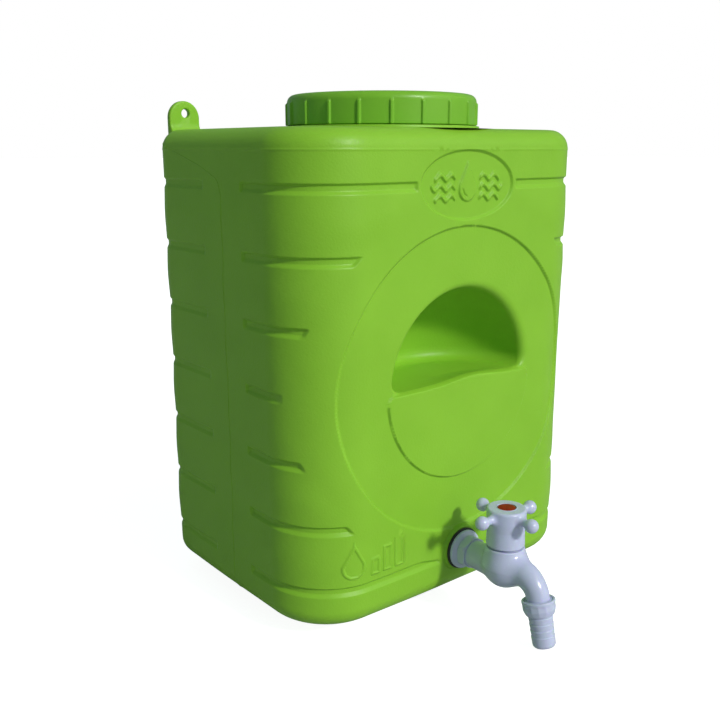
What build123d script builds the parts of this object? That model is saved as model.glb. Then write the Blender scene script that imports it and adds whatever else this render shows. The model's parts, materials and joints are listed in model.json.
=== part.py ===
from build123d import *
from math import asin, cos, degrees, radians, sin, tan
import os

# A 20 litre wall-hung water tank with a screw lid and a plastic compression tap.
# All lengths are millimetres. The origin is the centre of the flat base, +X runs to the right
# along the front, +Y to the back, towards the wall that the tank hangs on, and +Z up.

# ---- Tank: overall form
TANK_W = 300.0
TANK_D = 218.0
TANK_H = 372.0
WALL = 3.0
FRONT_CORNER_R = 54.0
REAR_CORNER_R = 25.0
TOP_EDGE_R = 15.0
BOTTOM_EDGE_R = 16.0
FRONT_Y = -TANK_D / 2
BACK_Y = TANK_D / 2

# ---- Tank: grooves that stiffen the walls
GROOVE_COUNT = 7
GROOVE_FIRST_Z = 32.5
GROOVE_PITCH = 49.7
GROOVE_W = 8.0
GROOVE_DEPTH = 2.5
GROOVE_SIDE_GAP = 26.0  # half the plain strip beside the mould's parting line
GROOVE_RING_R = 147.0  # the front grooves stop on this circle round the panel
SKIN_MARGIN = 2.0  # how far a cut runs outside the wall

# ---- Tank: round front panel, soap recess, apron under it, and oval badge
PANEL_R = 122.0
PANEL_Z = 177.8
PANEL_RECESS = 1.8
APRON_R = 78.0
APRON_CORNER_R = 8.0
RECESS_R = 73.0
RECESS_FLOOR_Z = 179.0
RECESS_FLOOR_FILLET = 8.0
BADGE_Z = 330.5
BADGE_HALF_W = 48.5
BADGE_HALF_H = 25.4
BADGE_RECESS = 2.0
DROP_R = 9.0
DROP_TIP = 18.0  # from the drop's centre up to its point
DROP_PROUD = 1.2

# ---- Tank: neck, collar and hanging lugs
NECK_Y = -7.0  # the filling neck stands a little nearer the front
COLLAR_R = 80.0
COLLAR_TOP_Z = 374.5
NECK_R = 72.0
NECK_BORE_R = 68.5
NECK_TOP_Z = 394.0
LUG_W = 27.5
LUG_X = 121.0
LUG_TOP_Z = 395.5
LUG_BASE_Z = 353.5
LUG_THICK = 5.0
HANG_HOLE_R = 3.6
HANG_HOLE_X = 120.0
HANG_HOLE_Z = 385.5

# ---- Lid, with its gasket
LID_R = 77.5
LID_WALL = 2.5
LID_BOTTOM_Z = 375.0
LID_TOP_Z = 399.0
LID_TOP_WALL = 3.0
LID_EDGE_R = 6.0
RIB_COUNT = 20
RIB_W = 3.0
RIB_PROUD = 1.5
RIB_TOP_Z = 392.9
RIB_START_DEG = 1.0
GASKET_R = 74.8
GASKET_BORE_R = 68.8

# ---- Lid thread: one ridge on the neck, one in the lid just below it
LID_LEAD = 10.0
LID_RIDGE_W = 4.2
LID_RIDGE_CREST_W = 2.0
NECK_RIDGE_H = 2.2
NECK_RIDGE_Z = 378.5
NECK_RIDGE_TURNS = 1.25
LID_RIDGE_H = 2.4
LID_RIDGE_DROP = 3.1  # between the two ridges' middles, leaving 0.3 between their flanks
LID_RIDGE_START_DEG = 90.0
LID_RIDGE_TURNS = 1.0

# ---- Tap: inlet, clamped through the front wall
INLET_Z = 36.9
PAD_R = 19.0
PAD_PROUD = 3.2  # the flat pad that the tap seals on stands out from the front
PAD_LENGTH = 10.0
TAP_HOLE_R = 10.7
SHANK_R = 10.4
SHANK_LENGTH = 18.0
OUTER_GASKET_R = 17.2
OUTER_GASKET_THICK = 2.0
INNER_GASKET_R = 15.0
INNER_GASKET_THICK = 2.5
BACK_NUT_THICK = 6.0
BACK_NUT_FLATS = 26.0
FLANGE_R = 16.1
FLANGE_THICK = 2.3
FLANGE_BEVEL_R = 14.0
FLANGE_BEVEL = 1.4
SPANNER_R = 13.0
SPANNER_START = 9.0
SPANNER_END = 15.0
INLET_NECK_R = 11.8
INLET_BORE_R = 5.0

# ---- Tap: valve chamber, on a vertical axis
VALVE_Y = -158.6
BULB_R = 17.0
BULB_Z = 40.0
SHOULDER_DEG = 12.0
SHOULDER_Z = 56.2
CHAMBER_R = 12.4
CHAMBER_BORE_R = 8.5
CHAMBER_TOP_Z = 59.5
SEAT_Z = 44.5
SEAT_BORE_R = 4.5
INLET_BORE_PAST = 4.0  # the inlet's bore runs this far past the valve's axis

# ---- Tap: spout and its threaded end
SPOUT_TILT_DEG = 13.3
SPOUT_END_Y = -193.3
SPOUT_END_Z = 24.55
SPOUT_Z = 39.7
SPOUT_R = 9.0
SPOUT_BEND_R = 18.0
SPOUT_BORE_R = 4.8
SPOUT_BORE_BEND_R = 11.0
SPOUT_BORE_START_Z = 49.5
SPOUT_BORE_DIP_Y = -176.0
SPOUT_THREAD_CORE_R = 9.3
SPOUT_THREAD_END = 6.6

# ---- Tap: bonnet, spindle and valve
BONNET_GASKET_THICK = 1.0
BONNET_PLUG_R = 8.45
BONNET_PLUG_BOTTOM_Z = 55.5
BONNET_FLATS = 21.6
BONNET_HEX_H = 5.0
BONNET_NECK_R = 8.2
BONNET_TOP_Z = 77.5
BONNET_BORE_R = 5.5
BONNET_BORE_TOP_Z = 68.0
STEM_R = 3.7
STEM_CLEARANCE = 0.05
SPINDLE_CORE_R = 4.2
SPINDLE_CORE_TOP_Z = 63.0
SPINDLE_SHOULDER_Z = 77.8
SPINDLE_SQUARE = 5.0
SPINDLE_TOP_Z = 82.8
O_RING_SECTION_R = 0.55
O_RING_GROOVE_R = 2.6
O_RING_GROOVE_W = 1.5
O_RING_ZS = (69.1, 71.9)
JUMPER_R = 7.0
JUMPER_THICK = 2.5
JUMPER_STEM_R = 2.45
JUMPER_STEM_LENGTH = 7.5
SOCKET_CLEARANCE = 0.06
SOCKET_DEPTH = 8.0
WASHER_R = 6.5
WASHER_THICK = 3.0
WASHER_SCREW_HEAD_R = 2.6
WASHER_SCREW_HEAD_H = 1.8
WASHER_SCREW_R = 1.2
WASHER_SCREW_LENGTH = 8.0

# ---- Tap: cross handle, its screw and its button
HANDLE_BOTTOM_Z = 57.3
HANDLE_TOP_Z = 87.8
SKIRT_R = 15.1
SKIRT_BORE_R = 12.9
SKIRT_CEILING_Z = 78.0
HUB_TOP_R = 15.4
HUB_FLARE_Z = 73.5
HUB_EDGE_R = 2.0
ARM_COUNT = 4
ARM_CLOCK_DEG = -2.5
ARM_Z = 81.2
ARM_START = 13.2
ARM_ROOT_R = 3.9
ARM_WAIST_R = 2.9
BALL_OFFSET = 26.0
BALL_R = 5.4
BUTTON_R = 7.15
BUTTON_FLOOR_Z = 85.5
BUTTON_TOP_Z = 88.1
BUTTON_EDGE_R = 0.5
POCKET_CLEARANCE = 0.1
HEAD_POCKET_R = 3.6
HEAD_POCKET_Z = 82.9
HANDLE_SCREW_HEAD_R = 3.2
HANDLE_SCREW_TOP_Z = 85.3
HANDLE_SCREW_R = 1.25
HANDLE_SCREW_TIP_Z = 70.5
PILOT_R = 1.3

# ---- Tap: thread between spindle and bonnet
SPINDLE_LEAD = 3.0
SPINDLE_RIDGE_H = 1.0
SPINDLE_RIDGE_W = 1.3
SPINDLE_RIDGE_CREST_W = 0.5
SPINDLE_RIDGE_Z = 54.7
SPINDLE_RIDGE_TURNS = 2.5
BONNET_RIDGE_Z = SPINDLE_RIDGE_Z + 1.5 * SPINDLE_LEAD

# ---- Tap: coupling nut and hose tail, measured down the spout's axis from the nut's rim
NUT_LENGTH = 11.5
NUT_RIM_R = 12.9
NUT_RIM_H = 2.2
NUT_FACETS = 10
NUT_FACET_R = 12.2
NUT_FOOT_R = 10.6
NUT_TAPER_START = 7.0
NUT_BORE_R = 10.9
NUT_BORE_DEPTH = 9.6
NUT_LIP_R = 9.45
TAIL_WASHER_THICK = 1.5
TAIL_FLANGE_R = 9.75
TAIL_FLANGE_THICK = 1.4
TAIL_BARREL_R = 9.4
TAIL_TIP = 36.9
TAIL_TIP_R = 8.9
TAIL_TIP_FILLET = 2.6
TAIL_BORE_R = 5.6
BARB_COUNT = 4
BARB_PITCH = 4.9
BARB_START = 13.0
BARB_STEP = 0.45
COUPLING_LEAD = 1.8
COUPLING_RIDGE_W = 1.0
COUPLING_RIDGE_CREST_W = 0.35
SPOUT_RIDGE_H = 1.15
SPOUT_RIDGE_START = 2.2
SPOUT_RIDGE_TURNS = 2.1
NUT_RIDGE_H = 1.05
NUT_RIDGE_START = SPOUT_RIDGE_START + COUPLING_LEAD / 2
NUT_RIDGE_TURNS = 2.4

# ---- Frames that the turned pieces share: each one's Z is the piece's own axis
neck_axis = Plane(origin=(0, NECK_Y, 0), x_dir=(1, 0, 0), z_dir=(0, 0, 1))
pad_y = FRONT_Y - PAD_PROUD
inlet_axis = Plane(origin=(0, pad_y, INLET_Z), x_dir=(1, 0, 0), z_dir=(0, -1, 0))
valve_axis = Plane(origin=(0, VALVE_Y, 0), x_dir=(1, 0, 0), z_dir=(0, 0, 1))
tilt = radians(SPOUT_TILT_DEG)
spout_axis = Plane(
    origin=(0, SPOUT_END_Y, SPOUT_END_Z), x_dir=(1, 0, 0), z_dir=(0, -sin(tilt), -cos(tilt))
)


def turned(frame, *outline):
    """A solid of revolution: outline holds (radius, height) corners about the frame's Z axis."""
    with BuildPart() as solid:
        with BuildSketch(Plane(origin=frame.origin, x_dir=frame.x_dir, z_dir=-frame.y_dir)):
            with BuildLine():
                Polyline(*outline, close=True)
            make_face()
        revolve(axis=Axis(frame.origin, frame.z_dir))
    return solid.part


def disc(frame, radius, low, high):
    """A plain round solid between two heights on the frame's Z axis."""
    return turned(frame, (0, low), (radius, low), (radius, high), (0, high))


def ring(frame, inner, outer, low, high):
    """A flat ring between two heights on the frame's Z axis."""
    return turned(frame, (inner, low), (outer, low), (outer, high), (inner, high))


def thread_ridge(frame, root_r, height, root_w, crest_w, lead, low, turns, start_deg=0.0):
    """A right-hand helical ridge. A negative height stands inwards, for a nut."""
    bite = 0.3 if height > 0 else -0.3
    with BuildPart() as ridge:
        with BuildLine() as path:
            Helix(pitch=lead, height=turns * lead, radius=root_r, center=(0, 0, low))
        with BuildSketch(Plane.XZ):
            with BuildLine():
                Polyline(
                    (root_r - bite, low - root_w / 2),
                    (root_r, low - root_w / 2),
                    (root_r + height, low - crest_w / 2),
                    (root_r + height, low + crest_w / 2),
                    (root_r, low + root_w / 2),
                    (root_r - bite, low + root_w / 2),
                    close=True,
                )
            make_face()
        sweep(path=path.wires()[0], is_frenet=True)
    return frame.location * Location((0, 0, 0), (0, 0, start_deg)) * ridge.part


# ==== Tank ====


def footprint(inset):
    """The tank's plan outline, moved inwards by inset."""
    with BuildSketch() as plan:
        Rectangle(TANK_W - 2 * inset, TANK_D - 2 * inset)
        fillet(plan.vertices().group_by(Axis.Y)[0], FRONT_CORNER_R - inset)
        fillet(plan.vertices().group_by(Axis.Y)[-1], REAR_CORNER_R - inset)
    return plan.sketch


def wall_band(inset, depth, low, high):
    """A band of the wall's surface, depth deep, all the way round between two heights."""
    with BuildPart() as band:
        with BuildSketch(Plane.XY.offset(low)):
            add(footprint(inset - SKIN_MARGIN))
            add(footprint(inset + depth), mode=Mode.SUBTRACT)
        extrude(amount=high - low)
    return band.part


def grooves(inset):
    """The stiffening grooves, stopped beside the parting line, the panel, the badge and the tap."""
    with BuildPart() as cut:
        for k in range(GROOVE_COUNT):
            middle = GROOVE_FIRST_Z + k * GROOVE_PITCH
            half = GROOVE_W / 2 + inset
            add(wall_band(inset, GROOVE_DEPTH, middle - half, middle + half))
        Box(2 * TANK_W, 2 * (GROOVE_SIDE_GAP - inset), 3 * TANK_H, mode=Mode.SUBTRACT)
        with BuildSketch(Plane.XZ):
            with Locations((0, PANEL_Z)):
                Circle(GROOVE_RING_R - inset)
            with Locations((0, BADGE_Z)):
                Ellipse(BADGE_HALF_W + GROOVE_W - inset, BADGE_HALF_H + GROOVE_W - inset)
            with Locations((0, INLET_Z)):
                Rectangle(2.2 * PAD_R - 2 * inset, 2 * PAD_R)
        extrude(amount=TANK_D, mode=Mode.SUBTRACT)
    return cut.part


def apron_outline(inset):
    """The half disc under the soap recess, with its corners rounded."""
    with BuildSketch() as half:
        Circle(APRON_R - inset)
        with Locations((0, APRON_R)):
            Rectangle(2 * APRON_R, 2 * APRON_R, mode=Mode.SUBTRACT)
        fillet(half.vertices(), APRON_CORNER_R)
    return half.sketch


def front_panels(inset):
    """The shallow round panel around the apron, and the oval badge above it."""
    low = PANEL_Z - PANEL_R - inset
    high = PANEL_Z + PANEL_R + inset
    with BuildPart() as round_panel:
        add(wall_band(inset, PANEL_RECESS, low, high))
        with BuildSketch(Plane.XZ):
            with Locations((0, PANEL_Z)):
                Circle(PANEL_R + inset)
                add(apron_outline(inset), mode=Mode.SUBTRACT)
        extrude(amount=TANK_D, mode=Mode.INTERSECT)
    with BuildPart() as badge:
        with BuildSketch(Plane.XZ.offset(-FRONT_Y - inset - BADGE_RECESS)):
            with Locations((0, BADGE_Z)):
                Ellipse(BADGE_HALF_W + inset, BADGE_HALF_H + inset)
        extrude(amount=BADGE_RECESS + SKIN_MARGIN)
    return round_panel.part, badge.part


def soap_recess(inset):
    """The scoop above the apron: a quarter of a ball with a flat floor."""
    radius = RECESS_R + inset
    floor_deg = -degrees(asin(inset / radius))
    with BuildPart() as scoop:
        with BuildSketch(Plane.XZ.offset(-FRONT_Y)):
            with Locations((0, RECESS_FLOOR_Z)):
                with BuildLine():
                    dome = CenterArc((0, RECESS_FLOOR_Z), radius, floor_deg, 90 - floor_deg)
                    axis_line = Line(dome @ 1, (0, RECESS_FLOOR_Z - inset))
                    Line(axis_line @ 1, dome @ 0)
                make_face()
        revolve(axis=Axis((0, FRONT_Y, 0), (0, 0, 1)))
        fillet(scoop.edges().filter_by(GeomType.CIRCLE).group_by(Axis.Z)[0], RECESS_FLOOR_FILLET)
    return scoop.part


def tank_form(inset):
    """The moulded form: the tank's outside, or its inside when inset is the wall's thickness."""
    round_panel, badge = front_panels(inset)
    with BuildPart() as form:
        with BuildSketch(Plane.XY.offset(inset)):
            add(footprint(inset))
        extrude(amount=TANK_H - 2 * inset)
        fillet(form.edges().group_by(Axis.Z)[-1], TOP_EDGE_R - inset)
        fillet(form.edges().group_by(Axis.Z)[0], BOTTOM_EDGE_R - 2 * inset)
        add(grooves(inset), mode=Mode.SUBTRACT)
        add(round_panel, mode=Mode.SUBTRACT)
        add(badge, mode=Mode.SUBTRACT)
        add(soap_recess(inset), mode=Mode.SUBTRACT)
    return form.part


with BuildPart() as tank_body:
    add(tank_form(0))
    add(disc(inlet_axis, PAD_R, -PAD_LENGTH, 0))
    add(disc(neck_axis, COLLAR_R, TANK_H - WALL, COLLAR_TOP_Z))
    add(disc(neck_axis, NECK_R, TANK_H - WALL, NECK_TOP_Z))
    with BuildSketch(Plane.XZ.offset(-BACK_Y)):
        lug_round_z = LUG_TOP_Z - LUG_W / 2
        with Locations((-LUG_X, lug_round_z), (LUG_X, lug_round_z)):
            Circle(LUG_W / 2)
        with Locations((-LUG_X, lug_round_z), (LUG_X, lug_round_z)):
            Rectangle(LUG_W, lug_round_z - LUG_BASE_Z, align=(Align.CENTER, Align.MAX))
        with Locations((-HANG_HOLE_X, HANG_HOLE_Z), (HANG_HOLE_X, HANG_HOLE_Z)):
            Circle(HANG_HOLE_R, mode=Mode.SUBTRACT)
    extrude(amount=LUG_THICK)
    with BuildSketch(Plane.XZ.offset(-FRONT_Y - BADGE_RECESS)):
        with BuildLine():
            wide = degrees(asin(DROP_R / DROP_TIP))
            belly = CenterArc((0, BADGE_Z), DROP_R, 180 - wide, 180 + 2 * wide)
            Line(belly @ 0, (0, BADGE_Z + DROP_TIP))
            Line((0, BADGE_Z + DROP_TIP), belly @ 1)
        make_face()
    extrude(amount=DROP_PROUD)
    add(tank_form(WALL), mode=Mode.SUBTRACT)
    add(disc(neck_axis, NECK_BORE_R, TANK_H - 2 * WALL, NECK_TOP_Z), mode=Mode.SUBTRACT)
    add(disc(inlet_axis, TAP_HOLE_R, -PAD_LENGTH, SKIN_MARGIN), mode=Mode.SUBTRACT)
    add(
        thread_ridge(
            neck_axis,
            NECK_R,
            NECK_RIDGE_H,
            LID_RIDGE_W,
            LID_RIDGE_CREST_W,
            LID_LEAD,
            NECK_RIDGE_Z,
            NECK_RIDGE_TURNS,
        )
    )

# ==== Lid ====

with BuildPart() as lid:
    with BuildSketch(neck_axis.offset(LID_BOTTOM_Z)):
        Circle(LID_R)
    extrude(amount=LID_TOP_Z - LID_BOTTOM_Z)
    fillet(lid.edges().filter_by(GeomType.CIRCLE).sort_by(Axis.Z)[-1], LID_EDGE_R)
    with BuildSketch(neck_axis.offset(LID_BOTTOM_Z)):
        with PolarLocations(LID_R, RIB_COUNT, start_angle=RIB_START_DEG):
            Rectangle(2 * RIB_PROUD, RIB_W)
    extrude(amount=RIB_TOP_Z - LID_BOTTOM_Z)
    add(
        disc(neck_axis, LID_R - LID_WALL, LID_BOTTOM_Z, LID_TOP_Z - LID_TOP_WALL),
        mode=Mode.SUBTRACT,
    )
    add(
        thread_ridge(
            neck_axis,
            LID_R - LID_WALL,
            -LID_RIDGE_H,
            LID_RIDGE_W,
            LID_RIDGE_CREST_W,
            LID_LEAD,
            NECK_RIDGE_Z - LID_RIDGE_DROP + LID_LEAD * LID_RIDGE_START_DEG / 360,
            LID_RIDGE_TURNS,
            LID_RIDGE_START_DEG,
        )
    )

with BuildPart() as lid_gasket:
    add(ring(neck_axis, GASKET_BORE_R, GASKET_R, NECK_TOP_Z, LID_TOP_Z - LID_TOP_WALL))

# ==== Tap: what clamps it to the wall ====

with BuildPart() as tap_outer_gasket:
    add(ring(inlet_axis, TAP_HOLE_R, OUTER_GASKET_R, 0, OUTER_GASKET_THICK))

inner_gasket_seat = -WALL - PAD_PROUD
inner_gasket_face = inner_gasket_seat - INNER_GASKET_THICK
with BuildPart() as tap_inner_gasket:
    add(ring(inlet_axis, TAP_HOLE_R, INNER_GASKET_R, inner_gasket_face, inner_gasket_seat))

with BuildPart() as tap_back_nut:
    with BuildSketch(inlet_axis.offset(inner_gasket_face)):
        RegularPolygon(BACK_NUT_FLATS / 2, 6, major_radius=False, rotation=30)
        Circle(SHANK_R, mode=Mode.SUBTRACT)
    extrude(amount=-BACK_NUT_THICK)

# ==== Tap: body ====

with BuildPart() as bulb:
    with BuildSketch(Plane.XZ.offset(-VALVE_Y)):
        with BuildLine():
            belly = CenterArc((0, BULB_Z), BULB_R, -90, 90 + SHOULDER_DEG)
            rise = SHOULDER_Z - (belly @ 1).Y
            shoulder_x = (belly @ 1).X - rise * tan(radians(SHOULDER_DEG))
            shoulder = Line(belly @ 1, (shoulder_x, SHOULDER_Z))
            Polyline(
                shoulder @ 1,
                (CHAMBER_R, SHOULDER_Z),
                (CHAMBER_R, CHAMBER_TOP_Z),
                (0, CHAMBER_TOP_Z),
                belly @ 0,
            )
        make_face()
    revolve(axis=Axis((0, VALVE_Y, 0), (0, 0, 1)))

bend_y = SPOUT_END_Y + (SPOUT_Z - SPOUT_END_Z) * tan(tilt)
thread_root = spout_axis.from_local_coords((0, 0, SPOUT_RIDGE_START))
outlet = spout_axis.from_local_coords((0, 0, 2 * SPOUT_THREAD_END))

with BuildPart() as spout:
    with BuildLine(Plane.YZ) as spout_path:
        FilletPolyline(
            (VALVE_Y, SPOUT_Z), (bend_y, SPOUT_Z), (thread_root.Y, thread_root.Z), radius=SPOUT_BEND_R
        )
    with BuildSketch(Plane.XZ.offset(-VALVE_Y)):
        with Locations((0, SPOUT_Z)):
            Circle(SPOUT_R)
    sweep(path=spout_path.wires()[0])

dip_slope = (SPOUT_BORE_START_Z - SPOUT_Z) / (VALVE_Y - SPOUT_BORE_DIP_Y)
dip = Vector(0, -1, -dip_slope)
with BuildPart() as spout_bore:
    with BuildLine(Plane.YZ) as bore_path:
        FilletPolyline(
            (VALVE_Y, SPOUT_BORE_START_Z),
            (SPOUT_BORE_DIP_Y, SPOUT_Z),
            (bend_y, SPOUT_Z),
            (outlet.Y, outlet.Z),
            radius=SPOUT_BORE_BEND_R,
        )
    with BuildSketch(Plane(origin=(0, VALVE_Y, SPOUT_BORE_START_Z), x_dir=(1, 0, 0), z_dir=dip)):
        Circle(SPOUT_BORE_R)
    sweep(path=bore_path.wires()[0])

flange_top = OUTER_GASKET_THICK + FLANGE_THICK
inlet_reach = pad_y - VALVE_Y
with BuildPart() as tap_body:
    add(bulb.part)
    add(
        turned(
            inlet_axis,
            (0, OUTER_GASKET_THICK),
            (FLANGE_R, OUTER_GASKET_THICK),
            (FLANGE_R, flange_top),
            (FLANGE_BEVEL_R, flange_top + FLANGE_BEVEL),
            (INLET_NECK_R, SPANNER_START),
            (INLET_NECK_R, inlet_reach),
            (0, inlet_reach),
        )
    )
    with BuildSketch(inlet_axis.offset(SPANNER_START)):
        RegularPolygon(SPANNER_R, 6, rotation=30)
    extrude(amount=SPANNER_END - SPANNER_START)
    add(disc(inlet_axis, SHANK_R, -SHANK_LENGTH, OUTER_GASKET_THICK))
    add(spout.part)
    add(disc(spout_axis, SPOUT_THREAD_CORE_R, 1, SPOUT_THREAD_END))
    add(
        thread_ridge(
            spout_axis,
            SPOUT_THREAD_CORE_R,
            SPOUT_RIDGE_H,
            COUPLING_RIDGE_W,
            COUPLING_RIDGE_CREST_W,
            COUPLING_LEAD,
            SPOUT_RIDGE_START,
            SPOUT_RIDGE_TURNS,
        )
    )
    add(disc(valve_axis, CHAMBER_BORE_R, SEAT_Z, CHAMBER_TOP_Z), mode=Mode.SUBTRACT)
    add(disc(valve_axis, SEAT_BORE_R, INLET_Z, SEAT_Z), mode=Mode.SUBTRACT)
    add(
        disc(inlet_axis, INLET_BORE_R, -SHANK_LENGTH, inlet_reach + INLET_BORE_PAST),
        mode=Mode.SUBTRACT,
    )
    add(spout_bore.part, mode=Mode.SUBTRACT)

# ==== Tap: bonnet and its gasket ====

bonnet_seat_z = CHAMBER_TOP_Z + BONNET_GASKET_THICK
with BuildPart() as bonnet_gasket:
    add(ring(valve_axis, CHAMBER_BORE_R, CHAMBER_R, CHAMBER_TOP_Z, bonnet_seat_z))

with BuildPart() as bonnet:
    add(disc(valve_axis, BONNET_PLUG_R, BONNET_PLUG_BOTTOM_Z, bonnet_seat_z))
    with BuildSketch(valve_axis.offset(bonnet_seat_z)):
        RegularPolygon(BONNET_FLATS / 2, 6, major_radius=False)
    extrude(amount=BONNET_HEX_H)
    add(disc(valve_axis, BONNET_NECK_R, bonnet_seat_z, BONNET_TOP_Z))
    add(
        disc(valve_axis, BONNET_BORE_R, BONNET_PLUG_BOTTOM_Z, BONNET_BORE_TOP_Z),
        mode=Mode.SUBTRACT,
    )
    add(
        disc(valve_axis, STEM_R + STEM_CLEARANCE, BONNET_BORE_TOP_Z, BONNET_TOP_Z),
        mode=Mode.SUBTRACT,
    )
    add(
        thread_ridge(
            valve_axis,
            BONNET_BORE_R,
            -SPINDLE_RIDGE_H,
            SPINDLE_RIDGE_W,
            SPINDLE_RIDGE_CREST_W,
            SPINDLE_LEAD,
            BONNET_RIDGE_Z,
            SPINDLE_RIDGE_TURNS,
        )
    )

# ==== Tap: valve that closes on the seat ====

jumper_bottom_z = SEAT_Z + WASHER_THICK
jumper_top_z = jumper_bottom_z + JUMPER_THICK
with BuildPart() as jumper_valve:
    add(disc(valve_axis, JUMPER_R, jumper_bottom_z, jumper_top_z))
    add(disc(valve_axis, JUMPER_STEM_R, jumper_top_z, jumper_top_z + JUMPER_STEM_LENGTH))
    add(
        disc(valve_axis, WASHER_SCREW_R, jumper_bottom_z, SEAT_Z + WASHER_SCREW_LENGTH),
        mode=Mode.SUBTRACT,
    )

with BuildPart() as valve_washer:
    add(ring(valve_axis, WASHER_SCREW_R, WASHER_R, SEAT_Z, jumper_bottom_z))

with BuildPart() as valve_screw:
    add(disc(valve_axis, WASHER_SCREW_HEAD_R, SEAT_Z - WASHER_SCREW_HEAD_H, SEAT_Z))
    add(disc(valve_axis, WASHER_SCREW_R, SEAT_Z, SEAT_Z + WASHER_SCREW_LENGTH))

# ==== Tap: spindle with its O-rings ====

with BuildPart() as spindle:
    add(disc(valve_axis, SPINDLE_CORE_R, jumper_top_z, SPINDLE_CORE_TOP_Z))
    add(
        thread_ridge(
            valve_axis,
            SPINDLE_CORE_R,
            SPINDLE_RIDGE_H,
            SPINDLE_RIDGE_W,
            SPINDLE_RIDGE_CREST_W,
            SPINDLE_LEAD,
            SPINDLE_RIDGE_Z,
            SPINDLE_RIDGE_TURNS,
        )
    )
    add(disc(valve_axis, STEM_R, jumper_top_z, SPINDLE_SHOULDER_Z))
    with BuildSketch(valve_axis.offset(SPINDLE_SHOULDER_Z)):
        Rectangle(SPINDLE_SQUARE, SPINDLE_SQUARE)
    extrude(amount=SPINDLE_TOP_Z - SPINDLE_SHOULDER_Z)
    add(
        disc(valve_axis, JUMPER_STEM_R + SOCKET_CLEARANCE, jumper_top_z, jumper_top_z + SOCKET_DEPTH),
        mode=Mode.SUBTRACT,
    )
    add(disc(valve_axis, PILOT_R, HANDLE_SCREW_TIP_Z - 1, SPINDLE_TOP_Z), mode=Mode.SUBTRACT)
    for z in O_RING_ZS:
        half = O_RING_GROOVE_W / 2
        add(ring(valve_axis, O_RING_GROOVE_R, 2 * STEM_R, z - half, z + half), mode=Mode.SUBTRACT)

with BuildPart() as spindle_o_rings:
    for z in O_RING_ZS:
        with BuildSketch(Plane.XZ.offset(-VALVE_Y)):
            with Locations((O_RING_GROOVE_R + O_RING_SECTION_R, z)):
                Circle(O_RING_SECTION_R)
        revolve(axis=Axis((0, VALVE_Y, 0), (0, 0, 1)))

# ==== Tap: cross handle, screw and button ====

with BuildPart() as cross_handle:
    add(
        turned(
            valve_axis,
            (0, HANDLE_BOTTOM_Z),
            (SKIRT_R, HANDLE_BOTTOM_Z),
            (SKIRT_R, HUB_FLARE_Z),
            (HUB_TOP_R, ARM_Z),
            (HUB_TOP_R, HANDLE_TOP_Z),
            (0, HANDLE_TOP_Z),
        )
    )
    fillet(cross_handle.edges().group_by(Axis.Z)[-1], HUB_EDGE_R)
    for k in range(ARM_COUNT):
        turn = radians(ARM_CLOCK_DEG + k * 360 / ARM_COUNT)
        arm_axis = Plane(
            origin=(0, VALVE_Y, ARM_Z), x_dir=(0, 0, 1), z_dir=(cos(turn), sin(turn), 0)
        )
        add(
            turned(
                arm_axis,
                (0, ARM_START),
                (ARM_ROOT_R, ARM_START),
                (ARM_WAIST_R, BALL_OFFSET - BALL_R),
                (ARM_WAIST_R, BALL_OFFSET),
                (0, BALL_OFFSET),
            )
        )
        with Locations(arm_axis.offset(BALL_OFFSET)):
            Sphere(BALL_R)
    add(disc(valve_axis, SKIRT_BORE_R, HANDLE_BOTTOM_Z, SKIRT_CEILING_Z), mode=Mode.SUBTRACT)
    with BuildSketch(valve_axis.offset(SKIRT_CEILING_Z)):
        socket_w = SPINDLE_SQUARE + POCKET_CLEARANCE
        Rectangle(socket_w, socket_w)
    extrude(amount=HEAD_POCKET_Z - SKIRT_CEILING_Z, mode=Mode.SUBTRACT)
    add(disc(valve_axis, HEAD_POCKET_R, HEAD_POCKET_Z, BUTTON_FLOOR_Z), mode=Mode.SUBTRACT)
    add(
        disc(valve_axis, BUTTON_R + POCKET_CLEARANCE, BUTTON_FLOOR_Z, HANDLE_TOP_Z),
        mode=Mode.SUBTRACT,
    )

with BuildPart() as handle_screw:
    add(disc(valve_axis, HANDLE_SCREW_HEAD_R, HEAD_POCKET_Z, HANDLE_SCREW_TOP_Z))
    add(disc(valve_axis, HANDLE_SCREW_R, HANDLE_SCREW_TIP_Z, HEAD_POCKET_Z))

with BuildPart() as handle_button:
    add(disc(valve_axis, BUTTON_R, BUTTON_FLOOR_Z, BUTTON_TOP_Z))
    fillet(handle_button.edges().group_by(Axis.Z)[-1], BUTTON_EDGE_R)

# ==== Tap: coupling nut and hose tail on the spout ====

with BuildPart() as coupling_nut:
    add(
        turned(
            spout_axis,
            (0, 0),
            (NUT_RIM_R, 0),
            (NUT_RIM_R, NUT_TAPER_START),
            (NUT_FOOT_R, NUT_LENGTH),
            (0, NUT_LENGTH),
        )
    )
    with BuildSketch(spout_axis):
        RegularPolygon(NUT_FACET_R, NUT_FACETS, major_radius=False)
    extrude(amount=NUT_LENGTH, mode=Mode.INTERSECT)
    add(disc(spout_axis, NUT_RIM_R, 0, NUT_RIM_H))
    add(disc(spout_axis, NUT_BORE_R, 0, NUT_BORE_DEPTH), mode=Mode.SUBTRACT)
    add(disc(spout_axis, NUT_LIP_R, NUT_BORE_DEPTH, NUT_LENGTH), mode=Mode.SUBTRACT)
    add(
        thread_ridge(
            spout_axis,
            NUT_BORE_R,
            -NUT_RIDGE_H,
            COUPLING_RIDGE_W,
            COUPLING_RIDGE_CREST_W,
            COUPLING_LEAD,
            NUT_RIDGE_START,
            NUT_RIDGE_TURNS,
        )
    )

tail_top = SPOUT_THREAD_END + TAIL_WASHER_THICK
tail_shoulder = tail_top + TAIL_FLANGE_THICK
with BuildPart() as tail_washer:
    add(ring(spout_axis, TAIL_BORE_R, TAIL_FLANGE_R, SPOUT_THREAD_END, tail_top))

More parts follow.
